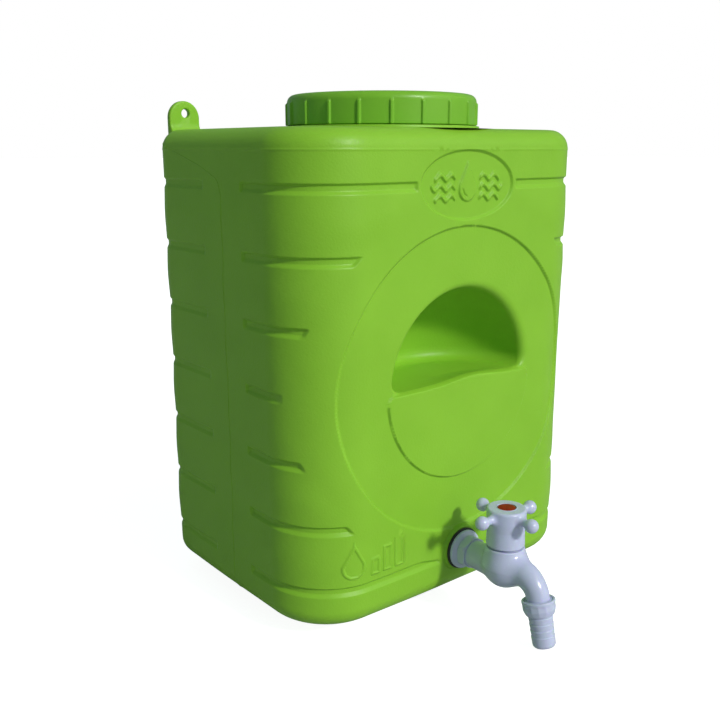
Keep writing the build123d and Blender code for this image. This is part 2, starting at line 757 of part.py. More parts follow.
barb_points = []
for k in range(BARB_COUNT):
    barb_r = TAIL_BARREL_R - (TAIL_BARREL_R - TAIL_TIP_R) * k / BARB_COUNT
    barb_top = BARB_START + k * BARB_PITCH
    barb_points.append((barb_r - BARB_STEP, barb_top))
    barb_points.append((barb_r, barb_top))
with BuildPart() as hose_tail:
    add(
        turned(
            spout_axis,
            (TAIL_BORE_R, tail_top),
            (TAIL_FLANGE_R, tail_top),
            (TAIL_FLANGE_R, tail_shoulder),
            (TAIL_BARREL_R, tail_shoulder),
            (TAIL_BARREL_R, NUT_LENGTH),
            *barb_points,
            (TAIL_TIP_R - BARB_STEP, TAIL_TIP),
            (TAIL_BORE_R, TAIL_TIP),
        )
    )
    tip_edges = hose_tail.edges().filter_by(GeomType.CIRCLE).sort_by(Axis.Z)
    fillet(tip_edges.group_by(Axis.Z)[0].sort_by(lambda edge: edge.length)[-1], TAIL_TIP_FILLET)

# ==== Names and files ====

pieces = {
    "tank_body": tank_body,
    "lid": lid,
    "lid_gasket": lid_gasket,
    "tap_outer_gasket": tap_outer_gasket,
    "tap_inner_gasket": tap_inner_gasket,
    "tap_back_nut": tap_back_nut,
    "tap_body": tap_body,
    "bonnet": bonnet,
    "bonnet_gasket": bonnet_gasket,
    "jumper_valve": jumper_valve,
    "valve_washer": valve_washer,
    "valve_screw": valve_screw,
    "spindle": spindle,
    "spindle_o_rings": spindle_o_rings,
    "cross_handle": cross_handle,
    "handle_screw": handle_screw,
    "handle_button": handle_button,
    "coupling_nut": coupling_nut,
    "tail_washer": tail_washer,
    "hose_tail": hose_tail,
}
os.makedirs("parts", exist_ok=True)
for name, piece in pieces.items():
    piece.part.label = name
    export_step(piece.part, f"parts/{name}.step")
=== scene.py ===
import bpy
import json
import math
import numpy as np
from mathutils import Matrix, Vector
from mathutils.geometry import delaunay_2d_cdt


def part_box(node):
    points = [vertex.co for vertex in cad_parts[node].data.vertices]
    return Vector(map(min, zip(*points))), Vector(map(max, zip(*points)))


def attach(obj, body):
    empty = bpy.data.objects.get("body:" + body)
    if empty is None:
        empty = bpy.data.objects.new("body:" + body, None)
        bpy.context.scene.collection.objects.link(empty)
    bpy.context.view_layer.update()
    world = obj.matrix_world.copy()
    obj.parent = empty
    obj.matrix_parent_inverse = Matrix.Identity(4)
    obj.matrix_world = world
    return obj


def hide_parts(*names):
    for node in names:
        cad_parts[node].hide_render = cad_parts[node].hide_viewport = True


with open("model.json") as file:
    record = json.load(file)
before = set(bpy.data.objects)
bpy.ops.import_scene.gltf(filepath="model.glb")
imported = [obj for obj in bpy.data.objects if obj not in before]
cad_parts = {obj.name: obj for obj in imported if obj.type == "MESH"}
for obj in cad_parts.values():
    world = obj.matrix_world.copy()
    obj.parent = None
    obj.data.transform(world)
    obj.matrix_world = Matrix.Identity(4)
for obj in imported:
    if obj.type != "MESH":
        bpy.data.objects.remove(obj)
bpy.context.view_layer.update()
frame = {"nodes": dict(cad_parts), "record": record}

# Shapes are worked out in millimetres, in the CAD model's frame, and scaled on the way into Blender.
MM = 0.001
TAU = 2 * math.pi

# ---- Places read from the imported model
tank_high = np.array(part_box("tank_body")[1]) / MM
lid_low, lid_high = (np.array(corner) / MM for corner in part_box("lid"))
gasket_low, gasket_high = (np.array(corner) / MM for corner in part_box("tap_outer_gasket"))
handle_low, handle_high = (np.array(corner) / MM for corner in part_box("cross_handle"))
mounts = {m["name"]: m for m in frame["record"]["mounts"]}
joints = {j["name"]: j for j in frame["record"]["behaviour"]["joints"]}
BACK_Y = mounts["wall_back"]["pos_m"][1] / MM
FRONT_Y = -BACK_Y
HALF_W = tank_high[0]
INLET_Z = (gasket_low[2] + gasket_high[2]) / 2
VALVE_Y = joints["handle_turn"]["pos_m"][1] / MM
NECK_Y = joints["lid_turn"]["pos_m"][1] / MM
PAD_Y = gasket_high[1]
SPOUT_END = np.array(joints["nut_turn"]["pos_m"]) / MM
SPOUT_DOWN = np.array(joints["nut_turn"]["axis"])
NOZZLE_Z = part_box("hose_tail")[0][2] / MM

# ---- Tank form
WALL = 3.0
TANK_H = 372.0
FRONT_R = 54.0
REAR_R = 25.0
TOP_R = 15.0
BOTTOM_R = 16.0
GROOVE_COUNT = 7
GROOVE_FIRST_Z = 32.5
GROOVE_PITCH = 49.7
GROOVE_DEPTH = 2.1
GROOVE_DEPTH_REAR = 1.3
GROOVE_SIDE_GAP = 26.0
GROOVE_RING_R = 147.0
GROOVE_END = 3.0  # length of the ramp at a groove's end
GROOVE_UP = (1.5, 3.9)  # floor's edge and rim above the groove's middle
GROOVE_DOWN = (1.1, 4.9)  # and below it, where the ramp is gentler
PANEL_R = 122.0
PANEL_Z = 177.8
PANEL_RECESS = 2.1
PANEL_SOFT = 0.9
APRON_R = 78.0
APRON_CORNER_R = 6.0
RECESS_R = 73.0
RECESS_FLOOR_Z = 179.0
BADGE_Z = 330.5
BADGE_HALF_W = 48.5
BADGE_HALF_H = 25.4
BADGE_RECESS = 2.0
BADGE_GAP = 2.5
TAP_CLEAR_X = 20.9
TAP_CLEAR_Z = 19.0
PAD_R = 19.0
PAD_SOFT = 0.7
SEAM_Z = 356.5
CROWN = 0.7
WAVINESS = 0.18
COLLAR_R = 80.0
COLLAR_TOP_Z = 374.5
NECK_R = 72.0
NECK_BORE_R = 68.5
NECK_TOP_Z = 394.0

# Perimeter of the plan outline, measured from the middle of the back, round the left side.
S_REAR = HALF_W - REAR_R
S_SIDE = S_REAR + REAR_R * math.pi / 2
S_CORNER = S_SIDE + 2 * BACK_Y - REAR_R - FRONT_R
S_FRONT = S_CORNER + FRONT_R * math.pi / 2
S_MIDDLE = S_FRONT + HALF_W - FRONT_R
PERIMETER = 2 * S_MIDDLE
# Height up the wall's profile, with the edge radii unrolled above and below the straight wall.
T_LOW = BOTTOM_R - BOTTOM_R * math.pi / 2
T_STRAIGHT = TANK_H - TOP_R
T_HIGH = T_STRAIGHT + TOP_R * math.pi / 2


# ==== Scene ====


def make_camera():
    data = bpy.data.cameras.new("camera")
    data.lens = 43.93
    data.sensor_width = 36.0
    data.clip_end = 50
    camera = bpy.data.objects.new("camera", data)
    camera.location = (-0.4872, -0.57835, 0.3575)
    camera.rotation_euler = (math.radians(76.43), 0, math.radians(-39.1))
    bpy.context.collection.objects.link(camera)
    bpy.context.scene.camera = camera


make_camera()


# ==== Numbers shared by the shapes ====


def ramp(low, high, value):
    t = np.clip((value - low) / (high - low), 0, 1)
    return t * t * (3 - 2 * t)


def smooth_max(a, b, k):
    h = np.maximum(k - np.abs(a - b), 0) / k
    return np.maximum(a, b) + h * h * k / 4


def smooth_min(a, b, k):
    return -smooth_max(-a, -b, k)


def unit(v):
    return v / np.linalg.norm(v, axis=-1, keepdims=True)


# ==== Building meshes ====


def make_piece(name, verts, faces, material, body, node, normals=None, smooth=True):
    mesh = bpy.data.meshes.new(name)
    mesh.from_pydata((np.asarray(verts) * MM).tolist(), [], faces)
    mesh.validate()
    mesh.update()
    mesh.polygons.foreach_set("use_smooth", [smooth] * len(mesh.polygons))
    if normals is not None:
        own = np.empty(len(mesh.vertices) * 3)
        mesh.vertex_normals.foreach_get("vector", own)
        own = own.reshape(-1, 3)
        known = ~np.isnan(normals[:, 0])
        own[known] = normals[known]
        mesh.normals_split_custom_set_from_vertices(own.tolist())
    mesh.materials.append(material)
    piece = bpy.data.objects.new(name, mesh)
    bpy.context.collection.objects.link(piece)
    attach(piece, body)
    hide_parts(node)
    return piece


def grid_faces(rows, cols, closed_rows=False, closed_cols=True, start=0):
    """Quads of a rows by cols lattice of points, counted row by row."""
    faces = []
    for i in range(rows if closed_rows else rows - 1):
        low, high = start + i * cols, start + (i + 1) % rows * cols
        for j in range(cols if closed_cols else cols - 1):
            k = (j + 1) % cols
            faces.append((low + j, low + k, high + k, high + j))
    return faces


def stitch(first, second):
    """Triangles between two closed loops of different counts, each a list of (index, turn)."""
    faces = []
    i = j = 0
    n, m = len(first), len(second)
    while i < n or j < m:
        next_i = first[(i + 1) % n][1] + (1 if i + 1 >= n else 0)
        next_j = second[(j + 1) % m][1] + (1 if j + 1 >= m else 0)
        if j >= m or (i < n and next_i <= next_j):
            faces.append((first[i % n][0], first[(i + 1) % n][0], second[j % m][0]))
            i += 1
        else:
            faces.append((first[i % n][0], second[(j + 1) % m][0], second[j % m][0]))
            j += 1
    return faces


class Axis:
    """A turned piece's own frame: origin and three unit vectors, in the tank's frame."""

    def __init__(self, origin, x, z):
        self.origin, self.x, self.z = (np.array(v, float) for v in (origin, x, z))
        self.y = np.cross(self.z, self.x)

    def out(self, points):
        points = np.asarray(points, float)
        across = points[..., :1] * self.x + points[..., 1:2] * self.y
        return self.origin + across + points[..., 2:3] * self.z

    def into(self, points):
        away = points - self.origin
        return np.stack([away @ self.x, away @ self.y, away @ self.z], -1)


neck_axis = Axis((0, NECK_Y, 0), (1, 0, 0), (0, 0, 1))
inlet_axis = Axis((0, PAD_Y, INLET_Z), (1, 0, 0), (0, -1, 0))
valve_axis = Axis((0, VALVE_Y, 0), (1, 0, 0), (0, 0, 1))
spout_axis = Axis(SPOUT_END, (1, 0, 0), SPOUT_DOWN)


def rounded(corners, steps=5):
    """A closed outline with its corners rounded: each corner is (radius, height, rounding)."""
    points = []
    count = len(corners)
    for i, (r, z, bend) in enumerate(corners):
        here = np.array((r, z))
        if bend <= 0:
            points.append(here)
            continue
        before = unit(np.array(corners[i - 1][:2]) - here)
        after = unit(np.array(corners[(i + 1) % count][:2]) - here)
        half = math.acos(np.clip(before @ after, -1, 1)) / 2
        reach = bend / math.tan(half)
        start, end = here + before * reach, here + after * reach
        centre = here + unit(before + after) * bend / math.sin(half)
        for k in range(steps + 1):
            mix = start + (end - start) * k / steps
            points.append(centre + unit(mix - centre) * bend)
    return points


def spread(points, longest):
    """The closed outline with extra points, so that no side is longer than longest."""
    out = []
    for i, here in enumerate(points):
        there = points[(i + 1) % len(points)]
        parts = max(1, math.ceil(np.linalg.norm(there - here) / longest))
        out += [here + (there - here) * k / parts for k in range(parts)]
    return out


def turned(axis, outline, angles, shape=None):
    """Vertices and faces of a closed ring outline, turned about the axis. shape moves radii."""
    outline = np.array(outline)
    r = outline[:, :1] * np.ones((1, len(angles)))
    z = outline[:, 1:] * np.ones((1, len(angles)))
    a = np.ones((len(outline), 1)) * angles[None, :]
    if shape is not None:
        r = shape(r, z, a)
    points = np.stack([r * np.cos(a), r * np.sin(a), z], -1).reshape(-1, 3)
    faces = grid_faces(len(outline), len(angles), closed_rows=True)
    return axis.out(points), faces


def even_angles(count):
    return np.arange(count) * TAU / count


def helix_ridge(axis, root_r, height, root_w, crest_w, lead, low, turns, start_deg=0.0, per_turn=72):
    """A thread's ridge as a closed tube whose ends fade into the wall. Negative height: inwards."""
    count = int(turns * per_turn) + 1
    f = np.linspace(0, 1, count)
    fade = ramp(0, 0.06, f) * ramp(0, 0.06, 1 - f)
    a = math.radians(start_deg) + f * turns * TAU
    z = low + f * turns * lead
    bite = -0.5 if height > 0 else 0.5
    rim = crest_w / 2 + 0.25 * (root_w - crest_w) / 2
    section = [
        (bite, -root_w / 2),
        (0, -root_w / 2),
        (0.8, -rim),
        (1, -0.7 * crest_w / 2),
        (1, 0.7 * crest_w / 2),
        (0.8, rim),
        (0, root_w / 2),
        (bite, root_w / 2),
    ]
    rows = []
    for up, across in section:
        lift = up if up == bite else up * height * fade - 0.05 * np.sign(height)
        r = root_r + lift
        zz = z + across * (0.4 + 0.6 * fade)
        rows.append(np.stack([r * np.cos(a), r * np.sin(a), zz], -1))
    points = np.stack(rows, 1).reshape(-1, 3)
    k = len(section)
    faces = grid_faces(count, k)
    faces.append(tuple(range(k - 1, -1, -1)))
    faces.append(tuple((count - 1) * k + i for i in range(k)))
    return axis.out(points), faces


def join_shapes(*shapes):
    verts, faces, base = [], [], 0
    for v, f in shapes:
        verts.append(v)
        faces += [tuple(base + i for i in face) for face in f]
        base += len(v)
    return np.concatenate(verts), faces


def outward(verts, faces):
    """The faces of a closed shape, turned so that they all look outwards."""
    tris = np.array([t for f in faces for t in ([f[0], f[i], f[i + 1]] for i in range(1, len(f) - 1))])
    a, b, c = verts[tris[:, 0]], verts[tris[:, 1]], verts[tris[:, 2]]
    volume = np.einsum("ij,ij->i", a, np.cross(b, c)).sum()
    return [f[::-1] for f in faces] if volume < 0 else faces


def make_solid(name, shape, material, body, node):
    """A piece from one closed shape, (vertices, faces), with its faces looking outwards."""
    return make_piece(name, shape[0], outward(*shape), material, body, node)


# ==== Tank: its wall as a height field over the unrolled outline ====


def footprint(s):
    """Plan position and outward direction at distance s round the outline."""
    u = np.minimum(s, PERIMETER - s)
    side = np.where(s < S_MIDDLE, -1.0, 1.0)
    rear = (u - S_REAR) / REAR_R
    front = (u - S_CORNER) / FRONT_R
    rx, ry = HALF_W - REAR_R, BACK_Y - REAR_R
    fx, fy = HALF_W - FRONT_R, BACK_Y - FRONT_R
    spans = [u < S_REAR, u < S_SIDE, u < S_CORNER, u < S_FRONT]
    x = np.select(
        spans,
        [u, rx + REAR_R * np.sin(rear), HALF_W + 0 * u, fx + FRONT_R * np.cos(front)],
        fx - (u - S_FRONT),
    )
    y = np.select(
        spans,
        [BACK_Y + 0 * u, ry + REAR_R * np.cos(rear), ry - (u - S_SIDE), -fy - FRONT_R * np.sin(front)],
        -BACK_Y + 0 * u,
    )
    nx = np.select(spans, [0 * u, np.sin(rear), 1 + 0 * u, np.cos(front)], 0 * u)
    ny = np.select(spans, [1 + 0 * u, np.cos(rear), 0 * u, -np.sin(front)], -1 + 0 * u)
    return np.stack([side * x, y], -1), np.stack([side * nx, ny], -1)


def form_point(s, t):
    """The smooth form without relief: position, outward normal."""
    plan, facing = footprint(s)
    low = np.clip((BOTTOM_R - t) / BOTTOM_R, 0, math.pi / 2)
    high = np.clip((t - T_STRAIGHT) / TOP_R, 0, math.pi / 2)
    inset = BOTTOM_R * (1 - np.cos(low)) + TOP_R * (1 - np.cos(high))
    z = np.clip(t, BOTTOM_R, T_STRAIGHT) - BOTTOM_R * np.sin(low) + TOP_R * np.sin(high)
    flat = np.cos(low) * np.cos(high)
    rise = np.sin(high) - np.sin(low)
    point = np.concatenate([plan - facing * inset[..., None], z[..., None]], -1)
    normal = np.concatenate([facing * flat[..., None], rise[..., None]], -1)
    return point, normal


def ellipse_distance(x, z, a, b):
    g = np.hypot(x / a, z / b)
    slope = np.hypot(x / a**2, z / b**2)
    return g * (g - 1) / np.maximum(slope, 1e-6)


def groove_relief(x, y, z):
    k = np.clip(np.round((z - GROOVE_FIRST_Z) / GROOVE_PITCH), 0, GROOVE_COUNT - 1)
    w = z - GROOVE_FIRST_Z - k * GROOVE_PITCH
    depth = np.where(w > 0, 1 - ramp(*GROOVE_UP, w), 1 - ramp(*GROOVE_DOWN, -w))
    front = y < 0
    ring = ramp(GROOVE_RING_R, GROOVE_RING_R + GROOVE_END, np.hypot(x, z - PANEL_Z))
    badge = ramp(BADGE_GAP, BADGE_GAP + GROOVE_END, ellipse_distance(x, z - BADGE_Z, BADGE_HALF_W, BADGE_HALF_H))
    by_tap = np.maximum(np.abs(x) - TAP_CLEAR_X, np.abs(z - INLET_Z) - TAP_CLEAR_Z)
    keep = ring * badge * ramp(0, GROOVE_END, by_tap)
    strip = ramp(GROOVE_SIDE_GAP, GROOVE_SIDE_GAP + GROOVE_END, np.abs(y))
    deep = GROOVE_DEPTH_REAR + (GROOVE_DEPTH - GROOVE_DEPTH_REAR) * (1 - ramp(-70, 10, y))
    return deep * depth * strip * np.where(front, keep, 1.0)


def apron_distance(x, z):
    """Signed distance to the half disc under the recess, negative inside, its corners round."""
    a = np.hypot(x, z - PANEL_Z) - APRON_R + APRON_CORNER_R
    b = z - PANEL_Z - lip_crown(x) + APRON_CORNER_R
    outside = np.hypot(np.maximum(a, 0), np.maximum(b, 0))
    return outside + np.minimum(np.maximum(a, b), 0) - APRON_CORNER_R


LIP_CROWN = 4.2
LIP_MIDDLE = 12.0
LIP_REACH = 30.0


def lip_crown(x):
    """How far the recess's front lip stands above its floor."""
    return LIP_CROWN * np.exp(-(((x - LIP_MIDDLE) / LIP_REACH) ** 2))


def panel_relief(x, y, z):
    r = np.hypot(x, z - PANEL_Z)
    inside = 1 - ramp(PANEL_R - PANEL_SOFT, PANEL_R + PANEL_SOFT, r)
    off_apron = ramp(-PANEL_SOFT, PANEL_SOFT, apron_distance(x, z))
    return PANEL_RECESS * inside * off_apron * (y < 0)


def pad_relief(x, y, z):
    """The boss that the tap's gasket seals on."""
    r = np.hypot(x, z - INLET_Z)
    return -(FRONT_Y - PAD_Y) * (1 - ramp(PAD_R - PAD_SOFT, PAD_R + PAD_SOFT, r)) * (y < 0)


def drop_distance(x, z, radius, tip):
    """Signed distance to a water drop: a disc and its two tangents up to the tip."""
    lean = radius / tip
    straight = math.sqrt(1 - lean * lean)
    ax = np.abs(x)
    on_line = z * straight - ax * lean > 0
    beside = ax * straight + z * lean - radius
    return np.where(on_line, beside, np.hypot(x, z) - radius)


def stroke(distance, half, soft):
    return 1 - ramp(half - soft, half + soft, np.abs(distance))


EMBLEM_PROUD = 1.7
EMBLEM_SOFT = 0.7
WAVE_ROWS = (6.0, -1.5, -9.0)
WAVE_LENGTH = 11.5
WAVE_HEIGHT = 1.9
WAVE_HALF = 1.25
WAVE_START = 14.0
WAVE_ENDS = (33.0, 37.0, 33.0)


def badge_relief(x, y, z):
    z = z - BADGE_Z
    depth = 1 - ramp(-1.3, 1.3, ellipse_distance(x, z, BADGE_HALF_W, BADGE_HALF_H))
    drop = 1 - ramp(-EMBLEM_SOFT, EMBLEM_SOFT, drop_distance(x, z + 3, 9.0, 20.0))
    glint_r = np.hypot(x, z + 3) - 5.2
    glint = stroke(glint_r, 0.7, 0.5) * ramp(-1, 1, -x - 1) * ramp(-1, 1, -z - 3)
    mark = drop - 0.6 * glint
    for row, end in zip(WAVE_ROWS, WAVE_ENDS):
        swing = WAVE_HEIGHT * np.sin((np.abs(x) - WAVE_START) * TAU / WAVE_LENGTH)
        off = (z - row - swing) * 0.75
        past = np.maximum(WAVE_START - np.abs(x), np.abs(x) - end)
        off = np.hypot(off, np.maximum(past, 0))
        mark = np.maximum(mark, stroke(off, WAVE_HALF, EMBLEM_SOFT))
    return (BADGE_RECESS * depth - EMBLEM_PROUD * mark * depth) * (y < 0)


GAUGE_X = (-122.0, -62.0)
GAUGE_Z = (40.5, 70.5)
GAUGE_PROUD = 0.8
GAUGE_HALF = 1.0
GAUGE_SOFT = 0.55
GAUGE_BARS = ((-91.0, 12.0), (-79.0, 19.0), (-67.0, 26.0))
GAUGE_BAR_HALF = 3.4


def gauge_relief(x, y, z):
    """A raised level sign: a drop in outline and three rising bars in outline."""
    low = GAUGE_Z[0] + 2
    mark = stroke(drop_distance(x + 110, z - low - 8.6, 8.2, 17.5), GAUGE_HALF, GAUGE_SOFT)
    for middle, height in GAUGE_BARS:
        a = np.abs(x - middle) - GAUGE_BAR_HALF
        b = np.abs(z - low - height / 2) - height / 2
        box = np.hypot(np.maximum(a, 0), np.maximum(b, 0)) + np.minimum(np.maximum(a, b), 0)
        mark = np.maximum(mark, stroke(box, GAUGE_HALF, GAUGE_SOFT))
    return -GAUGE_PROUD * mark * (y < 0)


def slow_relief(x, y, z):
    """Bulges between the grooves, and the unevenness of a blown wall."""
    off_ring = np.where(y < 0, ramp(GROOVE_RING_R - 4, GROOVE_RING_R + 12, np.hypot(x, z - PANEL_Z)), 1.0)
    band = np.sin(math.pi * (z - GROOVE_FIRST_Z) / GROOVE_PITCH) ** 2
    high = GROOVE_FIRST_Z + (GROOVE_COUNT - 1) * GROOVE_PITCH
    banded = ramp(GROOVE_FIRST_Z - 6, GROOVE_FIRST_Z + 6, z) * (1 - ramp(high - 6, high + 6, z))
    waves = (
        np.sin(0.021 * x + 0.013 * z + 1.3)
        + np.sin(0.027 * y - 0.017 * z + 0.4)
        + np.sin(0.034 * x - 0.020 * y + 0.029 * z)
        + 0.5 * np.sin(0.055 * x + 0.041 * y + 0.062 * z + 2.0)
    )
    return -CROWN * band * banded * off_ring - WAVINESS * waves


def relief(x, y, z, fine=True):
    """How far the wall lies inside the smooth form."""
    total = groove_relief(x, y, z) + panel_relief(x, y, z) + slow_relief(x, y, z) + pad_relief(x, y, z)
    if fine:
        total = total + badge_relief(x, y, z) + gauge_relief(x, y, z)
        total = total - 0.32 * np.exp(-(((z - SEAM_Z) / 0.7) ** 2))
    else:
        total = total + BADGE_RECESS * (
            1 - ramp(-1.3, 1.3, ellipse_distance(x, z - BADGE_Z, BADGE_HALF_W, BADGE_HALF_H))
        ) * (y < 0)
    return total


def wall_point(s, t, fine=True):
    point, normal = form_point(s, t)
    edge = ramp(T_LOW, T_LOW + 12, t) * (1 - ramp(T_HIGH - 12, T_HIGH, t))
    depth = relief(point[..., 0], point[..., 1], point[..., 2], fine) * edge
    return point - normal * depth[..., None]


def wall_normal(s, t, fine=True):
    step = 0.15
    s = np.clip(s, step, PERIMETER - step)
    along = wall_point(s + step, t, fine) - wall_point(s - step, t, fine)
    up = wall_point(s, np.minimum(t + step, T_HIGH), fine) - wall_point(s, np.maximum(t - step, T_LOW), fine)
    return unit(np.cross(along, up))


HOLE_MARGIN = 10.0
HOLE_COUNT = 340


def hole_outline(count):
    """The patch that holds the soap recess, as x, z points round the opening."""
    radius = RECESS_R + HOLE_MARGIN
    arc = np.linspace(0, math.pi, 200)
    points = [(radius * math.cos(a), RECESS_FLOOR_Z + radius * math.sin(a)) for a in arc]
    for middle, start in ((-RECESS_R, math.pi), (RECESS_R, 1.5 * math.pi)):
        for a in np.linspace(start, start + math.pi / 2, 30):
            points.append((middle + HOLE_MARGIN * math.cos(a), RECESS_FLOOR_Z + HOLE_MARGIN * math.sin(a)))
    points = np.array(points)
    length = np.concatenate([[0], np.cumsum(np.linalg.norm(np.diff(points, axis=0), axis=1))])
    at = np.arange(count) * length[-1] / count
    return np.stack([np.interp(at, length, points[:, 0]), np.interp(at, length, points[:, 1])], -1)


def front_s(x):
    """Distance round the outline for a place on the front, corners included."""
    ax = np.abs(x)
    flat = HALF_W - FRONT_R
    turn = FRONT_R * np.arcsin(np.clip((ax - flat) / FRONT_R, 0, 1))
    return S_MIDDLE + np.sign(x) * (np.minimum(ax, flat) + turn)


def merged(*groups):
    values = np.sort(np.concatenate([np.atleast_1d(g) for g in groups]))
    keep = [values[0]]
    for v in values[1:]:
        if v - keep[-1] > 0.35:
            keep.append(v)
    return np.array(keep)


def wall_lattice(coarse):
    """Rows and columns that follow the form's bends, the grooves and their ends."""
    flat, bend = (8.0, 2.7) if not coarse else (14.0, 5.0)
    corner_s = [
        (0, S_REAR, flat),
        (S_REAR, S_SIDE, 2.0 if not coarse else 4.0),
        (S_SIDE, S_CORNER, flat),
        (S_CORNER, S_FRONT, bend),
        (S_FRONT, S_MIDDLE, flat * 0.7),
    ]
    half = [np.linspace(a, b, max(2, math.ceil((b - a) / step) + 1)) for a, b, step in corner_s]
    y_to_s = S_SIDE + BACK_Y - REAR_R
    ends = [] if coarse else [
        y_to_s + sign * np.linspace(GROOVE_SIDE_GAP - 1, GROOVE_SIDE_GAP + GROOVE_END + 1, 8) for sign in (-1, 1)
    ]
    half = merged(*half, *ends)
    half[-1] = S_MIDDLE
    columns = np.concatenate([half, (PERIMETER - half[:-1])[::-1]])
    across = (0, 1.1, 1.5, 2.1, 2.7, 3.3, 3.9, 4.6, 5.8) if not coarse else (0, 1.5, 4.2)
    below = (1.1, 1.8, 2.6, 3.4, 4.2, 4.9, 5.8) if not coarse else (1.5, 4.8)
    rows = []
    for k in range(GROOVE_COUNT):
        z = GROOVE_FIRST_Z + k * GROOVE_PITCH
        rows += [z + a for a in across] + [z - b for b in below]
        if k < GROOVE_COUNT - 1:
            rows += list(np.linspace(z + 9, z + GROOVE_PITCH - 9, 6 if not coarse else 3))
    arc = 11 if not coarse else 6
    rows += list(np.linspace(T_LOW, BOTTOM_R, arc)) + list(np.linspace(T_STRAIGHT, T_HIGH, arc))
    if not coarse:
        rows += [SEAM_Z + d for d in (-6, -3, -1.6, -0.8, 0, 0.8, 1.6)]
        rows += [341.5, 346.5]
    rows = merged(rows)
    rows[-1] = T_HIGH
    rows[0] = T_LOW
    return columns, rows


def groove_end_points():
    """Close points where a groove runs out on the ring round the panel or beside the badge."""
    out = []
    offsets = (-5.8, -4.9, -4.2, -3.4, -2.6, -1.8, -1.1, 0, 1.1, 1.8, 2.4, 3.0, 3.6, 4.2, 5.0)
    for k in range(GROOVE_COUNT):
        z = GROOVE_FIRST_Z + k * GROOVE_PITCH
        gap = z - PANEL_Z
        ring = GROOVE_RING_R + GROOVE_END / 2
        x = math.sqrt(ring**2 - gap**2) if abs(gap) < ring else 0
        if k == 0:
            x = TAP_CLEAR_X + GROOVE_END / 2
        if k == GROOVE_COUNT - 1:
            x = BADGE_HALF_W + BADGE_GAP + GROOVE_END / 2
        middle = front_s(np.array([x]))[0] - S_MIDDLE
        for d in np.arange(-9, 9.1, 1.1):
            for off in offsets:
                slant = -off * gap / max(x, 40) if 0 < k < GROOVE_COUNT - 1 else 0
                out += [(S_MIDDLE + sign * (middle + d + slant), z + off) for sign in (-1, 1)]
    return np.array(out)


def front_points(x, z):
    return np.stack([front_s(x), z], -1)


def panel_points(coarse):
    """Rings round the panel's edge, the apron's edge and the badge, and lattices for the signs."""
    fine_step = (-1.8, -1.2, -0.6, 0, 0.6, 1.2, 1.8) if not coarse else (-1.6, 0, 1.6)
    groups = []
    radii = list(PANEL_R + np.array(fine_step)) + [127.0, 132.0]
    radii += list(np.arange(PANEL_R - 6, HOLE_MARGIN, -6.5 if not coarse else -13))
    for r in radii:
        n = max(24, int(TAU * r / (3.0 if not coarse else 8.0)))
        a = even_angles(n) + 0.37 * r
        groups.append(front_points(r * np.cos(a), PANEL_Z + r * np.sin(a)))
    arc = np.linspace(math.pi, TAU, 90 if not coarse else 30)
    rim = np.stack([APRON_R * np.cos(arc), PANEL_Z + APRON_R * np.sin(arc)], -1)[2:-2]
    for d in fine_step:
        scale = (APRON_R + d) / APRON_R
        groups.append(front_points(rim[:, 0] * scale, PANEL_Z + (rim[:, 1] - PANEL_Z) * scale))
    if coarse:
        return np.concatenate(groups)
    around = even_angles(200)
    for d in (-3.2, -1.9, -1.3, -0.65, 0, 0.65, 1.3, 1.9, 3.2, 5.0):
        groups.append(
            front_points((BADGE_HALF_W + d) * np.cos(around), BADGE_Z + (BADGE_HALF_H + d) * np.sin(around))
        )
    for d in (-18, -14, -10, -6, -3, -1.4, -0.7, -0.35, 0, 0.35, 0.7, 1.4, 2.5):
        turn = even_angles(max(8, int(TAU * (PAD_R + d) / 1.5)))
        groups.append(front_points((PAD_R + d) * np.cos(turn), INLET_Z + (PAD_R + d) * np.sin(turn)))
    gx, gz = np.meshgrid(np.arange(-40, 40.1, 0.95), np.arange(-15, 18.6, 0.95))
    inside = ellipse_distance(gx, gz, BADGE_HALF_W, BADGE_HALF_H) < -4.0
    groups.append(front_points(gx[inside], BADGE_Z + gz[inside]))
    gx, gz = np.meshgrid(np.arange(GAUGE_X[0], GAUGE_X[1] + 0.1, 0.9), np.arange(GAUGE_Z[0], GAUGE_Z[1], 0.9))
    clear = np.hypot(gx, gz - PANEL_Z) > 132.5
    groups.append(front_points(gx[clear], gz[clear]))
    return np.concatenate(groups)


def lattice_kept(points, coarse):
    """Drops lattice points where rings or signs bring their own."""
    place, _ = form_point(points[:, 0], points[:, 1])
    x, y, z = place.T
    r = np.hypot(x, z - PANEL_Z)
    drop = (y < 0) & (r < 134.5) & (np.abs(x) < 134.5) & (np.abs(z - points[:, 1]) < 1)
    if not coarse:
        badge = ellipse_distance(x, z - BADGE_Z, BADGE_HALF_W, BADGE_HALF_H)
        seam = (np.abs(z - SEAM_Z) < 2) & (badge > 0)
        drop |= (y < 0) & (badge < 6) & ~seam
        drop |= (y < 0) & (np.hypot(x, z - INLET_Z) < PAD_R + 2.5)
        drop |= (
            (y < 0) & (x > GAUGE_X[0] - 1) & (x < GAUGE_X[1] + 1) & (z > GAUGE_Z[0] - 1) & (z < GAUGE_Z[1] + 1)
        )
    edge = (points[:, 1] <= T_LOW) | (points[:, 1] >= T_HIGH)
    return points[~drop | edge]


def inside_loop(points, loop):
    """Which points lie inside a closed polygon."""
    x, y = points[:, 0], points[:, 1]
    inside = np.zeros(len(points), bool)
    ax, ay = loop[:, 0], loop[:, 1]
    bx, by = np.roll(ax, -1), np.roll(ay, -1)
    for x0, y0, x1, y1 in zip(ax, ay, bx, by):
        if y0 == y1:
            continue
        cross = (y0 > y) != (y1 > y)
        inside ^= cross & (x < (x1 - x0) * (y - y0) / (y1 - y0) + x0)
    return inside


